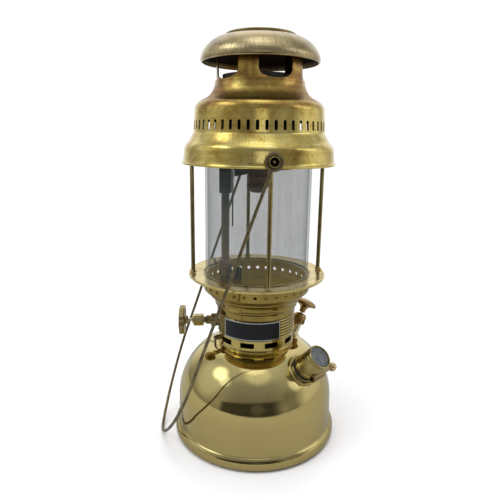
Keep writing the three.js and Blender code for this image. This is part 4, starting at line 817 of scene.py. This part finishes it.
# Inner chimney: a sooted steel sleeve that hangs by a bead in a flat plate on the cage's ring, slit for the
# mixing tube. The spider inside it carries the burner.
sooted_steel, nodes = new_finish("sooted_steel")
soot = nodes.noise(nodes.place(), 130.0, 7.0, 0.7)
colour = nodes.ramp(
    soot, (0.3, (0.035, 0.033, 0.032)), (0.5, (0.075, 0.07, 0.066)), (0.62, (0.13, 0.11, 0.09)),
    (0.75, (0.2, 0.13, 0.08)))
rough = nodes.ramp(soot, (0.3, 0.75), (0.8, 0.38))
metal = nodes.ramp(soot, (0.3, 0.4), (0.8, 0.95))
nodes.surface(colour, rough, metal, nodes.bump(soot, 0.5, 0.0003))
carrier_line = [(35.3, 299.9, 0.2), (64.5, 299.9, 0.3), (64.5, 300.9, 0.3), (35.3, 300.9, 0.2)]
finished(turned("sleeve_carrier", carrier_line), sooted_steel, "dark_steel", "lantern", "sleeve_plate")
sleeve_inner, sleeve_outer, sleeve_foot, sleeve_top = 34, 35, 277, 361.6
slit_half, slit_top = 6.7, 297.7
sleeve_line = [
    (sleeve_inner, sleeve_foot, 0.2), (sleeve_outer, sleeve_foot, 0.3), (sleeve_outer, 301.2),
    (36.3, 301.2, 0.4), (36.3, 302, 0.4), (sleeve_outer, 302.7, 0.3), (sleeve_outer, sleeve_top, 0.3),
    (sleeve_inner, sleeve_top, 0.2),
]
sleeve = turned("draught_sleeve", sleeve_line)
cut_by(sleeve, block("slit", (-slit_half, -40, 275), (slit_half, -30, slit_top), fuel_azimuth))
finished(sleeve, sooted_steel, "dark_steel", "lantern", "inner_chimney")

# Control body: a cast brass barrel lying across the collar, with a nose for the packing nut.
# It is brazed to a stem that comes up out of the tank.


def outward(azimuth):
    """The level direction away from the lantern's axis, counted from the front."""
    return Vector((sin(azimuth), -cos(azimuth), 0))


def leaning(azimuth, radius, height, tilt):
    """A frame on the lantern: Z points outwards and up, X down the slope and Y along the tangent."""
    out, up = outward(azimuth), Vector((0, 0, 1))
    z = up * cos(tilt) + out * sin(tilt)
    x = out * cos(tilt) - up * sin(tilt)
    axes = Matrix((x, z.cross(x), z)).transposed().to_4x4()
    return Matrix.Translation((out * radius + up * height) / 1000) @ axes


stem_distance, spindle_height = 32, 120
spindle_frame = leaning(fuel_azimuth, 0, spindle_height, pi / 2)
stem_frame = Matrix.Translation(outward(fuel_azimuth) * stem_distance / 1000)
cast_brass = brass(
    "cast_brass", (0.36, 0.27, 0.12), (0.15, 0.1, 0.05), (0.4, 0.65), gloss=(0.22, 0.45), lines=0.4,
    blotch=110.0, spots=0.4, axis=spindle_frame)
barrel_line = [
    (0, 24.5), (6.7, 24.5, 0.6), (6.7, 39.2, 0.3), (6.2, 39.8, 0.2), (6.2, 40.6, 0.2), (6.7, 41.2, 0.3),
    (6.7, 46.6, 0.8), (4.5, 46.9, 0.3), (4.5, 51.7, 0.4), (3.3, 51.9, 0.2), (3.3, 53.9, 0.2), (0, 53.9),
]
stem_line = [(0, 88.2), (5, 88.2, 0.4), (5, 175.8, 0.5), (0, 175.8)]
control = turned("control_casting", barrel_line, 48, spindle_frame)
merged(control, turned("stem", stem_line, 48, stem_frame))
finished(control, cast_brass, "brown_brass", "lantern", "control_body")

# Packing nut: a bright hexagon with turned ends, pierced for the spindle. It is screwed on the body's nose
# and holds the gland.


def hex_nut(name, flats, low, high, cone, frame_matrix):
    """A hexagon bar whose ends are turned down to a cone, with the last edge broken."""
    flat, corner, sides, vertices, faces = flats / 2, flats / 2 / cos(pi / 6), 48, [], []
    broken, broken_height = 0.2, 0.1
    rows = (
        (flat - broken, low), (flat, low + broken_height), (corner, low + cone), (corner, high - cone),
        (flat, high - broken_height), (flat - broken, high))
    for reach, height in rows:
        for k in range(sides):
            angle = k * tau / sides
            radius = min(reach, flat / cos((angle + pi / 6) % (pi / 3) - pi / 6))
            vertices.append((radius * cos(angle), radius * sin(angle), height))
    rings = [list(range(row * sides, (row + 1) * sides)) for row in range(len(rows))]
    for lower, upper in zip(rings, rings[1:]):
        faces += strip(lower + lower[:1], upper + upper[:1])
    faces += [rings[0][::-1], rings[-1]]
    return placed(mesh_object(name, vertices, faces), frame_matrix)


nut_brass = brass(
    "nut_brass", (0.56, 0.43, 0.17), (0.4, 0.28, 0.1), (0.5, 0.75), gloss=(0.12, 0.28), lines=0.2,
    blotch=120.0, axis=spindle_frame)
gland_line = [(1.9, 64.9), (3.6, 64.9, 0.3), (3.6, 66.2, 0.4), (1.9, 66.2)]
packing = hex_nut("packing", flats=11, low=54.2, high=65, cone=1.1, frame_matrix=spindle_frame)
merged(packing, turned("gland", gland_line, 32, spindle_frame))
finished(packing, nut_brass, "polished_brass", "lantern", "packing_nut", sharp=25)

# Handwheel: a dull cast wheel with nine scallops and four holes on a turned hub, pinned to the control
# spindle.


def as_mesh(name, outline_data):
    """A mesh piece made from a curve or from a letter."""
    form = bpy.data.objects.new(name + "_form", outline_data)
    bpy.context.collection.objects.link(form)
    made = bpy.data.objects.new(name, made_mesh(form))
    bpy.context.collection.objects.link(made)
    bpy.data.objects.remove(form)
    return made


def flat_piece(name, outlines, frame_matrix, half_thickness, edge, edge_steps):
    """A flat piece with round edges. An outline that runs backwards is a hole."""
    curve = bpy.data.curves.new(name, "CURVE")
    curve.dimensions, curve.fill_mode = "2D", "BOTH"
    curve.extrude, curve.bevel_depth, curve.bevel_resolution = half_thickness / 1000, edge / 1000, edge_steps
    for outline in outlines:
        spline = curve.splines.new("POLY")
        spline.points.add(len(outline) - 1)
        for spot, (x, y) in zip(spline.points, outline):
            spot.co = (x / 1000, y / 1000, 0, 1)
        spline.use_cyclic_u = True
    return placed(as_mesh(name, curve), frame_matrix)


wheel_radius, scallops, scallop_depth, wheel_middle = 13.6, 9, 0.6, 76.4
wheel_holes, hole_radius, hole_circle, rim_steps, hole_steps = 4, 3.4, 8.6, 108, 28
wheel_brass = brass(
    "wheel_brass", (0.5, 0.38, 0.16), (0.24, 0.17, 0.08), (0.4, 0.66), gloss=(0.2, 0.42), lines=0.3,
    blotch=130.0, spots=0.3, axis=spindle_frame)
rim_turns = [k * tau / rim_steps for k in range(rim_steps)]
rim_reach = [wheel_radius + scallop_depth * cos(scallops * a) for a in rim_turns]
wheel_outlines = [[(reach * cos(a), reach * sin(a)) for a, reach in zip(rim_turns, rim_reach)]]
backwards = [-k * tau / hole_steps for k in range(hole_steps)]
for angle in (k * tau / wheel_holes for k in range(wheel_holes)):
    x, y = hole_circle * cos(angle), hole_circle * sin(angle)
    wheel_outlines.append([(x + hole_radius * cos(a), y + hole_radius * sin(a)) for a in backwards])
wheel_frame = spindle_frame @ Matrix.Translation((0, 0, wheel_middle / 1000))
wheel = flat_piece("wheel_casting", wheel_outlines, wheel_frame, half_thickness=1.8, edge=1, edge_steps=3)
hub_line = [
    (0, 70.6), (4.2, 70.6, 0.4), (4.6, 73.2, 0.5), (4.6, 79.3, 0.4), (2.4, 79.5, 0.2), (2.2, 78.9, 0.1),
    (0, 78.9),
]
merged(wheel, turned("hub", hub_line, 40, spindle_frame))
finished(wheel, wheel_brass, "brown_brass", "wheel", "handwheel")

# Union nut and vaporizer: a bronze nut holds the foot of the steel tube, browned by heat, with the jet on its
# top and a thin pressed bar hanging beside it.
heated_bronze = brass(
    "heated_bronze", (0.6, 0.4, 0.28), (0.36, 0.23, 0.16), (0.42, 0.68), gloss=(0.25, 0.5), lines=0.3,
    blotch=120.0, spots=0.3)
union = hex_nut("union", flats=12.6, low=170, high=186, cone=1.2, frame_matrix=stem_frame)
finished(union, heated_bronze, "bronze", "lantern", "union_nut", sharp=25)
heated_steel, nodes = new_finish("heated_steel")
place = nodes.place()
flakes = nodes.noise(place, 240.0, 6.0, 0.7)
warm = nodes.maths("MULTIPLY_ADD", flakes, 0.35, nodes.remap(nodes.split(place)["Z"], 0.176, 0.26))
colour = nodes.ramp(
    warm, (0.1, (0.5, 0.34, 0.19)), (0.5, (0.36, 0.26, 0.16)), (0.9, (0.22, 0.17, 0.12)),
    (1.0, (0.15, 0.125, 0.1)))
nodes.surface(colour, nodes.remap(flakes, low=0.3, high=0.65), 0.85, nodes.bump(flakes, 0.4, 0.0002))
tube_line = [
    (0, 176.3), (5, 176.3, 0.3), (5, 178.5, 0.4), (4, 178.8, 0.3), (4, 247.6, 0.2), (3.8, 248, 0.1),
    (3.8, 249, 0.1), (4, 249.4, 0.2), (4, 252, 0.4), (0, 252),
]
vapour_tube = turned("vapour_tube", tube_line, 40, stem_frame)
finished(vapour_tube, heated_steel, "dark_steel", "lantern", "vaporizer_tube")
jet_line = [
    (0, 252.3), (4, 252.3, 0.2), (4, 253.9, 0.3), (2.6, 254.6, 0.3), (1.6, 256.6, 0.3), (0.8, 256.6, 0.1),
    (0.8, 256), (0, 256),
]
finished(turned("jet", jet_line, 32, stem_frame), heated_bronze, "brown_brass", "lantern", "fuel_jet")
mixing_radius, bar_half, bar_gap = 6.2, 0.7, 0.3
bar_outline = [(-2.5, 219.6), (2.5, 219.6), (2.5, 272), (1.4, 275), (-1.4, 275), (-2.5, 272)]
bar = mesh_object("side_bar", [(t, s, z) for t in (-bar_half, bar_half) for s, z in bar_outline], [])
facing_out(bar, bevel=0.25, hull=True)
bar_distance = stem_distance - mixing_radius - bar_gap - bar_half
bar_frame = Matrix.Translation(outward(fuel_azimuth) * bar_distance / 1000)
placed(bar, bar_frame @ Matrix.Rotation(fuel_azimuth + pi / 2, 4, "Z"))
finished(bar, sooted_steel, "sooted_steel", "lantern", "vaporizer_bar")

# Mixing tube: a cast tube, blackened by heat, that rises round the jet, bends over and enters the mixing
# chamber above the burner. A web stiffens its bend.


def tube_tree():
    """A round tube swept along a line of points."""
    nodes, given = begin_shape("tube_along", ("Radius", "Float"), ("Sides", "Int"), ("Closed ends", "Bool"))
    line = nodes.add("GeometryNodeMeshToCurve", {"Mesh": given["Geometry"]})
    section = nodes.add("GeometryNodeCurvePrimitiveCircle", {
        "Radius": given["Radius"], "Resolution": given["Sides"]})
    swept = nodes.add("GeometryNodeCurveToMesh", {
        "Curve": line, "Profile Curve": section, "Fill Caps": given["Closed ends"]})
    return end_shape(nodes, given, swept)


tube_along = tube_tree()


def swept_tube(name, points, radius, sides, finish, closed=True):
    piece = mesh_object(name, points, [], [(k, k + 1) for k in range(len(points) - 1)])
    with_inputs(piece, tube_along, radius=radius / 1000, sides=sides, closed_ends=closed, finish=finish)
    return facing_out(piece)


def prism(name, near, far):
    """A solid between two outlines that have as many points."""
    count = len(near)
    sides = [(k, (k + 1) % count, (k + 1) % count + count, k + count) for k in range(count)]
    ends = [list(reversed(range(count))), list(range(count, 2 * count))]
    return mesh_object(name, [*near, *far], ends + sides)


mixing_wall, burner_reach, bend_foot, bend_top = 0.9, 18, 277, 291
bend_reach, bend_rise, bend_steps = stem_distance - burner_reach, bend_top - bend_foot, 10
middle_line = [(stem_distance, height) for height in (252.8, 258, 264, 270, 276)]
middle_line += [
    (stem_distance - bend_reach * t * t, bend_foot + bend_rise * (1 - (1 - t) ** 2))
    for t in (k / bend_steps for k in range(bend_steps + 1))
]
middle_line += [(burner_reach - k * 2.1, bend_top) for k in range(1, 5)]
middle_points = [outward(fuel_azimuth) * reach + Vector((0, 0, height)) for reach, height in middle_line]
mixing = swept_tube("mixing_pipe", middle_points, mixing_radius, 40, sooted_steel, closed=False)
thickened(mixing, mixing_wall)
web_half = 2.2
web_outline = [
    (23.6, 268.6), (23.6, 275.7), (26.4, 276.4), (24, 287), (10.1, 287), (10.1, 271.8), (13, 270.6),
    (18, 269.6),
]
web = prism("web", *[[(t, -reach, height) for reach, height in web_outline] for t in (-web_half, web_half)])
placed(web, Matrix.Rotation(fuel_azimuth, 4, "Z"))
merged(mixing, facing_out(web, bevel=0.5))
finished(mixing, sooted_steel, "sooted_steel", "lantern", "mixing_tube", sharp=50)

# Burner: a bronze mixing chamber with a flanged throat, and the fired clay nozzle hanging under it.
# The chamber is cast and turned, and the nozzle screws into its foot.


def grainy(name, stops, scale, detail, grain_roughness, rough, *relief):
    """A finish that isn't metal, whose colour and relief follow one fine grain."""
    material, nodes = new_finish(name)
    grain = nodes.noise(nodes.place(), scale, detail, grain_roughness)
    nodes.surface(nodes.ramp(grain, *stops), rough, bump=nodes.bump(grain, *relief) if relief else None)
    return material


burner_bronze = brass(
    "burner_bronze", (0.34, 0.16, 0.085), (0.12, 0.06, 0.04), (0.38, 0.62), gloss=(0.35, 0.6), lines=0.3,
    blotch=110.0, spots=0.4)
fired_clay = grainy(
    "fired_clay", ((0.3, (0.16, 0.1, 0.07)), (0.6, (0.32, 0.22, 0.15)), (0.8, (0.42, 0.32, 0.24))),
    600.0, 6.0, 0.7, 0.9, 0.6, 0.0002)
chamber_line = [
    (8.8, 259, 0.2), (11.3, 259, 0.5), (11.3, 261.6, 0.5), (9.8, 262.2, 0.4), (9.8, 268, 0.3),
    (10.3, 268.4, 0.2), (10.3, 269.6, 0.2), (9.8, 270, 0.3), (9.8, 282.3), (13, 282.3, 0.5), (13, 302, 0.8),
    (0, 302), (0, 301), (12, 301), (12, 283.3), (8.8, 283.3),
]
finished(turned("burner_chamber", chamber_line, 64), burner_bronze, "bronze", "lantern", "mixing_chamber")
nozzle_line = [(5, 253.6, 0.5), (6.8, 253.6, 0.6), (8, 255.2, 0.6), (8, 258.7, 0.4), (5, 258.7, 0.3)]
finished(turned("clay_nozzle", nozzle_line, 48), fired_clay, "clay", "lantern", "burner_nozzle")

# Preheater: a small brass torch beside the vaporizer, on a neck from the tank. Its valve barrel passes
# through the collar to a flat lever. The flame has scorched the torch from the top down.
preheater_azimuth, valve_height, torch_distance = radians(-78.5), 106, 21
valve_frame = leaning(preheater_azimuth, 0, valve_height, pi / 2)
torch_frame = Matrix.Translation(outward(preheater_azimuth) * torch_distance / 1000)
valve_line = [(0, 18), (2.6, 18, 0.3), (2.6, 38, 0.2), (2.6, 43, 0.4), (0, 43)]
neck_line = [(0, 95), (2.2, 95), (2.2, 159.7, 0.3), (0, 159.9)]
valve = turned("preheater_valve", valve_line, 32, valve_frame)
merged(valve, turned("torch_neck", neck_line, 32, torch_frame))
finished(valve, cast_brass, "brown_brass", "lantern", "preheater_body")
scorched_torch, nodes = new_finish("scorched_torch")
place = nodes.place()
crust = nodes.noise(place, 420.0, 6.0, 0.7)
scorched = nodes.maths("MULTIPLY_ADD", crust, 0.4, nodes.remap(nodes.split(place)["Z"], 0.158, 0.176))
colour = nodes.ramp(
    scorched, (0.15, (0.6, 0.42, 0.1)), (0.5, (0.5, 0.26, 0.06)), (0.75, (0.16, 0.07, 0.03)),
    (0.9, (0.02, 0.015, 0.013)))
nodes.surface(colour, nodes.remap(scorched, low=0.25, high=0.7), 0.8, nodes.bump(crust, 0.5, 0.0002))
torch_line = [
    (0, 160.3), (3.8, 160.3, 0.3), (4.6, 161.2, 0.3), (4.6, 173, 0.2), (4.2, 173.6, 0.2), (4.2, 174.4, 0.2),
    (4.6, 175, 0.3), (4.6, 178, 0.3), (3.8, 178, 0.2), (3.8, 162), (0, 162),
]
torch = turned("torch_cup", torch_line, 40, torch_frame)
finished(torch, scorched_torch, "bronze", "lantern", "preheater_torch")
lever_length, lever_half_width, lever_distance = 7.5, 1.6, 44.2
half_round = [pi / 2 + pi * k / 12 for k in range(13)]
lever_outline = [(lever_half_width * cos(a), lever_half_width * sin(a)) for a in half_round]
lever_outline += [(lever_length - x, -y) for x, y in lever_outline]
lever_frame = valve_frame @ Matrix.Translation((0, 0, lever_distance / 1000))
lever = flat_piece("torch_lever", [lever_outline], lever_frame, half_thickness=0.5, edge=0.4, edge_steps=2)
pivot_line = [(0, 40.4), (1.1, 40.4), (1.1, 43.1), (2, 43.4, 0.2), (2, 45.4, 0.3), (0, 45.6)]
merged(lever, turned("lever_pivot", pivot_line, 24, valve_frame))
finished(lever, cast_brass, "brown_brass", "lever", "preheater_lever")

# Filler: a flanged brass neck soldered to the dome, a rubber washer, and a deep screwed cap that carries
# the pressure gauge. The cap has a knurled foot and a cross boss with the release screw.


def knurled(piece, ribs, finish, half, foot, crest, low, high, slope=0.4):
    """A ring of pressed ridges round a turned piece."""
    corners = [(-half, -foot, low), (half, -foot, low), (half, -foot, high), (-half, -foot, high)]
    ridge = [(0, -crest, low + slope), (0, -crest, high - slope)]
    sides = [(0, 1, 4), (1, 2, 5, 4), (2, 3, 5), (3, 0, 4, 5), (3, 2, 1, 0)]
    return merged(piece, set_round(mesh_object("ridge", corners + ridge, sides), ribs, finish))


def dome_height(radius):
    """The height of the solid dome, which six straight pieces go round. Its fittings stand at that height."""
    rise, width = tank_top - shoulder_foot, wall_radius - neck_radius
    line = curved(
        (wall_radius, shoulder_foot), (wall_radius, shoulder_foot + 0.54 * rise),
        (neck_radius + 0.43 * width, tank_top), (neck_radius, tank_top), 6)
    (outer, low), (inner, high) = next(pair for pair in zip(line, line[1:]) if pair[1][0] <= radius)
    return low + (high - low) * (outer - radius) / (outer - inner)


filler_distance, boss_distance, boss_height = 62, 12.5, 10.4
filler_frame = leaning(radians(38.5), filler_distance, dome_height(filler_distance), radians(43.5))
boss_place = Matrix.Translation((boss_distance / 1000, 0, boss_height / 1000))
boss_frame = filler_frame @ boss_place @ Matrix.Rotation(-pi / 2, 4, "X")
filler_brass = brass(
    "filler_brass", (0.54, 0.43, 0.16), (0.3, 0.21, 0.08), (0.44, 0.7), gloss=(0.12, 0.3), lines=0.5,
    line_scale=3600.0, blotch=90.0, spots=0.25, axis=filler_frame)
boss_brass = brass(
    "boss_brass", (0.4, 0.29, 0.12), (0.18, 0.11, 0.045), (0.4, 0.68), gloss=(0.16, 0.36), lines=0.4,
    blotch=120.0, spots=0.4, axis=boss_frame)
knob_brass = brass(
    "knob_brass", (0.72, 0.56, 0.3), (0.45, 0.3, 0.14), (0.5, 0.75), gloss=(0.14, 0.3), lines=0.3,
    blotch=150.0, axis=boss_frame)
black_rubber = grainy(
    "black_rubber", ((0.35, 0.012), (0.75, (0.045, 0.043, 0.04))), 500.0, 5.0, 0.5, 0.78, 0.3, 0.0001)
filler_bore, filler_neck_radius, flange_radius = 9.4, 12.6, 16
filler_line = [
    (filler_bore, -6), (filler_neck_radius, -6), (filler_neck_radius, -3.6), (15.4, -3.6, 0.4),
    (flange_radius, -2, 0.8), (flange_radius, 0.6, 0.6), (14.6, 1.4, 0.6), (filler_neck_radius, 1.5, 0.4),
    (filler_neck_radius, 3.2, 0.3), (filler_bore, 3.2, 0.3),
]
flange = turned("filler_flange", filler_line, 80, filler_frame)
finished(flange, filler_brass, "yellow_brass", "lantern", "filler_neck")
washer_line = [(filler_bore, 3.5, 0.2), (12.7, 3.5, 0.4), (12.7, 5.1, 0.4), (filler_bore, 5.1, 0.2)]
washer = turned("cap_washer", washer_line, 64, filler_frame)
finished(washer, black_rubber, "black_rubber", "gasket", "cap_gasket")
cap_foot, cap_top, screw_cap_radius = 5.4, 28.4, 12
screw_cap_line = [
    (0, -2.6), (8.9, -2.6, 0.5), (8.9, cap_foot), (11.8, cap_foot, 0.3), (12.2, 6, 0.3), (12.2, 9.6, 0.3),
    (11.7, 10.3, 0.3), (11.7, 11, 0.3), (screw_cap_radius, 11.6, 0.4), (screw_cap_radius, 25.6, 0.2),
    (11.7, 26, 0.15), (11.7, 26.6, 0.15), (screw_cap_radius, 27, 0.2), (screw_cap_radius, cap_top, 0.2),
    (10.9, cap_top), (10.9, 27.2), (10.2, 27.2), (10.2, 24), (0, 24),
]
screw_cap = knurled(
    turned("cap_body", screw_cap_line, 96), 72, filler_brass, half=0.32, foot=12.1, crest=12.5, low=6.2,
    high=9.4)
finished(placed(screw_cap, filler_frame), filler_brass, "yellow_brass", "cap", "filler_cap")
boss_line = [
    (1.9, -6, 0.1), (3.5, -6, 0.5), (4.1, -5.2, 0.4), (4.1, 10.2, 0.4), (3.6, 11, 0.4), (1.9, 11, 0.2),
]
finished(turned("release_boss", boss_line, 40, boss_frame), boss_brass, "brown_brass", "cap")
threads, thread_pitch, screw_radius = 12, 0.9, 1.6
thread = [(screw_radius - 0.22 * (k % 2), 12.8 + thread_pitch / 2 * k) for k in range(2 * threads)]
screw_line = [
    (0, 0.3), (screw_radius, 0.3), (screw_radius, 12), (1.45, 12.4), *thread, (screw_radius, 23.8),
    (screw_radius, 24.4), (0, 24.4),
]
screw = turned("release_thread", screw_line, 24, boss_frame)
finished(screw, heated_steel, "dark_steel", "release_screw", "release_stem", sharp=60)
knob_line = [
    (0, 24.7), (2.6, 24.7, 0.3), (2.9, 25.6, 0.3), (4.1, 26.3, 0.5), (4.1, 30.6, 0.7), (3.2, 31.6, 0.4),
    (1.8, 31.2, 0.3), (0, 31.2),
]
knob = knurled(
    turned("release_turn_knob", knob_line, 48), 26, knob_brass, half=0.33, foot=4, crest=4.4, low=26.8,
    high=30.2)
finished(placed(knob, boss_frame), knob_brass, "satin_brass", "release_screw", "release_knob")

# Gauge: a pale dial with plain marks and numbers under a domed lens, held by a bright bezel that is pressed
# over the cap's edge.
dial_paint = grainy(
    "dial_paint", ((0.35, (0.72, 0.72, 0.62)), (0.8, (0.58, 0.54, 0.4))), 300.0, 5.0, 0.5, 0.55)
dial_ink = grainy("dial_ink", ((0.3, 0.01), (0.8, 0.05)), 700.0, 3.0, 0.5, 0.5)
lens_glass, nodes = new_finish("lens_glass")
scratch = nodes.noise(nodes.place(), 420.0, 5.0)
cover = nodes.maths("MULTIPLY_ADD", scratch, 0.9, grazing(nodes, 0.9), clamp=True)
nodes.surface((0.16, 0.17, 0.18), nodes.remap(scratch, low=0.02, high=0.16), Alpha=cover, IOR=1.6)
dial_line = [(0, 24.3), (9.9, 24.3, 0.1), (9.9, 24.9, 0.2), (0.9, 24.9), (0.9, 25.2, 0.1), (0, 25.2)]
finished(turned("dial", dial_line, 80, filler_frame), dial_paint, "pale_dial", "cap", "gauge_dial")
ink_height, mark_half, marks_of_turn, marks_shown, first_mark = 24.96, 0.16, 24, 19, radians(-135)
number_radius, number_size = 5.6, 2.6
mark_inner, mark_outer = 7.3, 9.1
mark_corners = [
    (-mark_half, -mark_outer), (mark_half, -mark_outer), (mark_half, -mark_inner), (-mark_half, -mark_inner)]
dial_marks = mesh_object("dial_marks", [(x, y, ink_height) for x, y in mark_corners], [(0, 1, 2, 3)])
set_round(dial_marks, marks_of_turn, dial_ink, copies=marks_shown, first=first_mark)
for number in range(4):
    text = bpy.data.curves.new("dial_number", "FONT")
    text.body, text.size, text.align_x, text.align_y = str(number), number_size / 1000, "CENTER", "CENTER"
    angle = first_mark + number * pi / 2
    spot = Matrix.Translation((outward(angle) * number_radius + Vector((0, 0, ink_height))) / 1000)
    merged(dial_marks, placed(as_mesh("flat_number", text), spot @ Matrix.Rotation(angle, 4, "Z")))
placed(dial_marks, filler_frame @ Matrix.Rotation(pi, 4, "Z"))
finished(dial_marks, dial_ink, "black_enamel", "cap")
hand_foot, hand_top = 25.5, 26.1
hand_outline = [(-2.6, -0.6), (0, -0.6), (7.4, 0), (0, 0.6), (-2.6, 0.6)]
hand = prism("dial_hand", *[[(x, y, z) for x, y in hand_outline] for z in (hand_foot, hand_top)])
hand_hub_line = [(0, hand_foot), (1.2, hand_foot), (1.2, hand_top, 0.2), (0.6, 26.6, 0.2), (0, 26.7)]
merged(hand, turned("hand_hub", hand_hub_line, 24))
finished(placed(hand, filler_frame), dial_ink, "black_enamel", "needle", "gauge_needle")
dome = curved((10.3, 28.6), (8.6, 30.2), (4.4, 31), (0, 31), 10)
lens = turned("lens", [(0, 27.5), (10.7, 27.5, 0.1), (10.7, 28.3, 0.2), *dome], 80, filler_frame)
finished(lens, lens_glass, "clear_glass", "cap", "gauge_glass", sharp=60)
bezel_line = [
    (10.8, 28.7, 0.1), (12, 28.7, 0.3), (12, 29.4, 0.4), (11.5, 30, 0.4), (10.7, 29.9, 0.3),
    (10.5, 28.9, 0.2),
]
finished(turned("bezel", bezel_line, 96, filler_frame), nut_brass, "polished_brass", "cap", "gauge_bezel")

# Pump: a bright brass tube soldered into the tank at a slant, a bronze cap nut with a knurled band, and the
# turned knob on the pump's rod.
pump_distance = 50.6
pump_frame = leaning(radians(114.5), pump_distance, dome_height(pump_distance), radians(26.5))
tube_brass = brass(
    "tube_brass", (0.74, 0.62, 0.36), (0.5, 0.38, 0.18), (0.52, 0.78), gloss=(0.08, 0.22), lines=0.4,
    blotch=90.0, axis=pump_frame)
pump_bronze = brass(
    "pump_bronze", (0.52, 0.34, 0.14), (0.26, 0.15, 0.055), (0.42, 0.7), gloss=(0.16, 0.36), lines=0.4,
    blotch=90.0, spots=0.3, axis=pump_frame)
pump_radius = 5
barrel_line = [
    (0, -78), (pump_radius, -78), (pump_radius, -3.5), (7.4, -3, 0.5), (7.4, 0.4, 0.8), (5.5, 1.6, 0.6),
    (pump_radius, 2.6, 0.3), (pump_radius, 12.2, 0.3), (0, 12.2),
]
barrel = turned("pump_tube", barrel_line, 64, pump_frame)
finished(barrel, tube_brass, "satin_brass", "lantern", "pump_barrel")
nut_line = [
    (1.9, 12.5), (6.9, 12.5, 0.4), (6.9, 13.4, 0.2), (6.9, 18.4, 0.3), (7.2, 19, 0.3), (7.2, 21.2, 0.6),
    (5.2, 24.1, 0.8), (1.9, 24.1, 0.2),
]
pump_nut = knurled(
    turned("pump_nut", nut_line, 72), 40, pump_bronze, half=0.34, foot=6.85, crest=7.28, low=13.2, high=18.2)
finished(placed(pump_nut, pump_frame), pump_bronze, "bronze", "lantern", "pump_cap_nut")
knob_foot = curved((3.4, 26.6), (3.4, 31.4), (5.4, 33.6), (11.6, 34), 10)
knob_crown = curved((12.4, 35.4), (12.3, 38.6), (7.6, 41), (0, 41), 12)
pump_knob = turned("pump_handle", [(0, 25.4), (3.3, 25.4, 0.3), *knob_foot, *knob_crown], 80, pump_frame)
finished(pump_knob, pump_bronze, "bronze", "plunger", "pump_knob")

# Pivot studs: turned brass bosses fixed on the front and back cage rods, each with a pin in a recessed end.
# The bail's eyes turn on them.
stud_height = 287
# The recess round each stud's pin is blackened: painted shade.
stud_brass = brass(
    "stud_brass", (0.5, 0.39, 0.17), (0.3, 0.2, 0.08), (0.45, 0.7), gloss=(0.14, 0.32), lines=0.4,
    blotch=150.0, axis=leaning(0.0, 0, stud_height, pi / 2), pit_shade=(0.001, 0.0034))
stud_line = [
    (0, 66.6), (3, 66.6), (3, 74.2), (4.7, 74.2, 0.3), (4.7, 79.8, 0.5), (3.9, 79.8, 0.3), (3.3, 76, 0.3),
    (1, 76), (1, 78.8, 0.5), (0, 79),
]
for side, azimuth in (("front", 0.0), ("back", pi)):
    stud = turned("stud_" + side, stud_line, 48, leaning(azimuth, 0, stud_height, pi / 2))
    finished(stud, stud_brass, "satin_brass", "lantern", "pivot_stud_" + side)

# Bail: one length of oxidised brass wire, bent to two long legs and a pointed bow, with a dished eye at each
# end that turns on its stud. The bow rests on the table.
bail_brass = brass(
    "bail_brass", (0.3, 0.24, 0.13), (0.11, 0.085, 0.055), (0.42, 0.66), gloss=(0.28, 0.5), lines=0.2,
    blotch=150.0, spots=0.4)
wire_radius, bail_lean, table_gap, eye_distance = 1.5, radians(19.2), 0.3, 78
leg_top, leg_length, leg_inset, leg_steps, bow_steps, bow_power = 7, 213, 9, 30, 60, 2 / 1.5
bail_reach = (stud_height - wire_radius - table_gap) / cos(bail_lean)
bow_top, bow_half = leg_top + leg_length, eye_distance - leg_inset
leg = [
    (0, -eye_distance + leg_inset * t, -leg_top - leg_length * t)
    for t in (k / leg_steps for k in range(leg_steps + 1))
]
bow = []
for angle in (pi * k / bow_steps for k in range(1, bow_steps)):
    side = -copysign(abs(cos(angle)) ** bow_power, cos(angle))
    bow.append((0, side * bow_half, -bow_top - sin(angle) ** bow_power * (bail_reach - bow_top)))
other_leg = [(x, -y, z) for x, y, z in reversed(leg)]
wire = swept_tube("bail_wire", [*leg, *bow, *other_leg], wire_radius, 16, bail_brass)
eye_line = [
    (5.1, -1.3, 0.5), (7.2, -1.5, 0.6), (8.1, -0.4, 0.7), (8, 1.1, 0.5), (7.2, 1.5, 0.5), (6, 0.7, 0.6),
    (5.1, 0.1, 0.4),
]
for side in (-1, 1):
    beside = Matrix.Translation((0, side * eye_distance / 1000, 0)) @ Matrix.Rotation(side * -pi / 2, 4, "X")
    merged(wire, turned("eye", eye_line, 64, beside))
placed(wire, Matrix.Translation((0, 0, stud_height / 1000)) @ Matrix.Rotation(bail_lean, 4, "Y"))
finished(wire, bail_brass, "brown_brass", "swing_bail", "bail", sharp=60)

# Inner pieces: rods, tubes and the burner's spider, which stay as the solids made them, and the pump's
# leather. They only get their own finishes.
oiled_leather, nodes = new_finish("oiled_leather")
hide = nodes.add("ShaderNodeTexVoronoi", {"Vector": nodes.place(), "Scale": 1400.0})
colour = nodes.ramp(hide, (0.0, (0.09, 0.05, 0.025)), (1.0, (0.2, 0.12, 0.06)))
nodes.surface(colour, 0.6, bump=nodes.bump(hide, 0.5, 0.0002))
inner_finishes = {
    "pickup_tube": tube_brass, "pump_check_valve": filler_brass, "pump_rod": tube_brass,
    "pump_leather": oiled_leather, "wheel_spindle": tube_brass, "pricker_rod": heated_steel,
    "burner_spider": sooted_steel,
}
for node, finish in inner_finishes.items():
    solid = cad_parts[node]
    solid.data.materials.clear()
    solid.data.materials.append(finish)
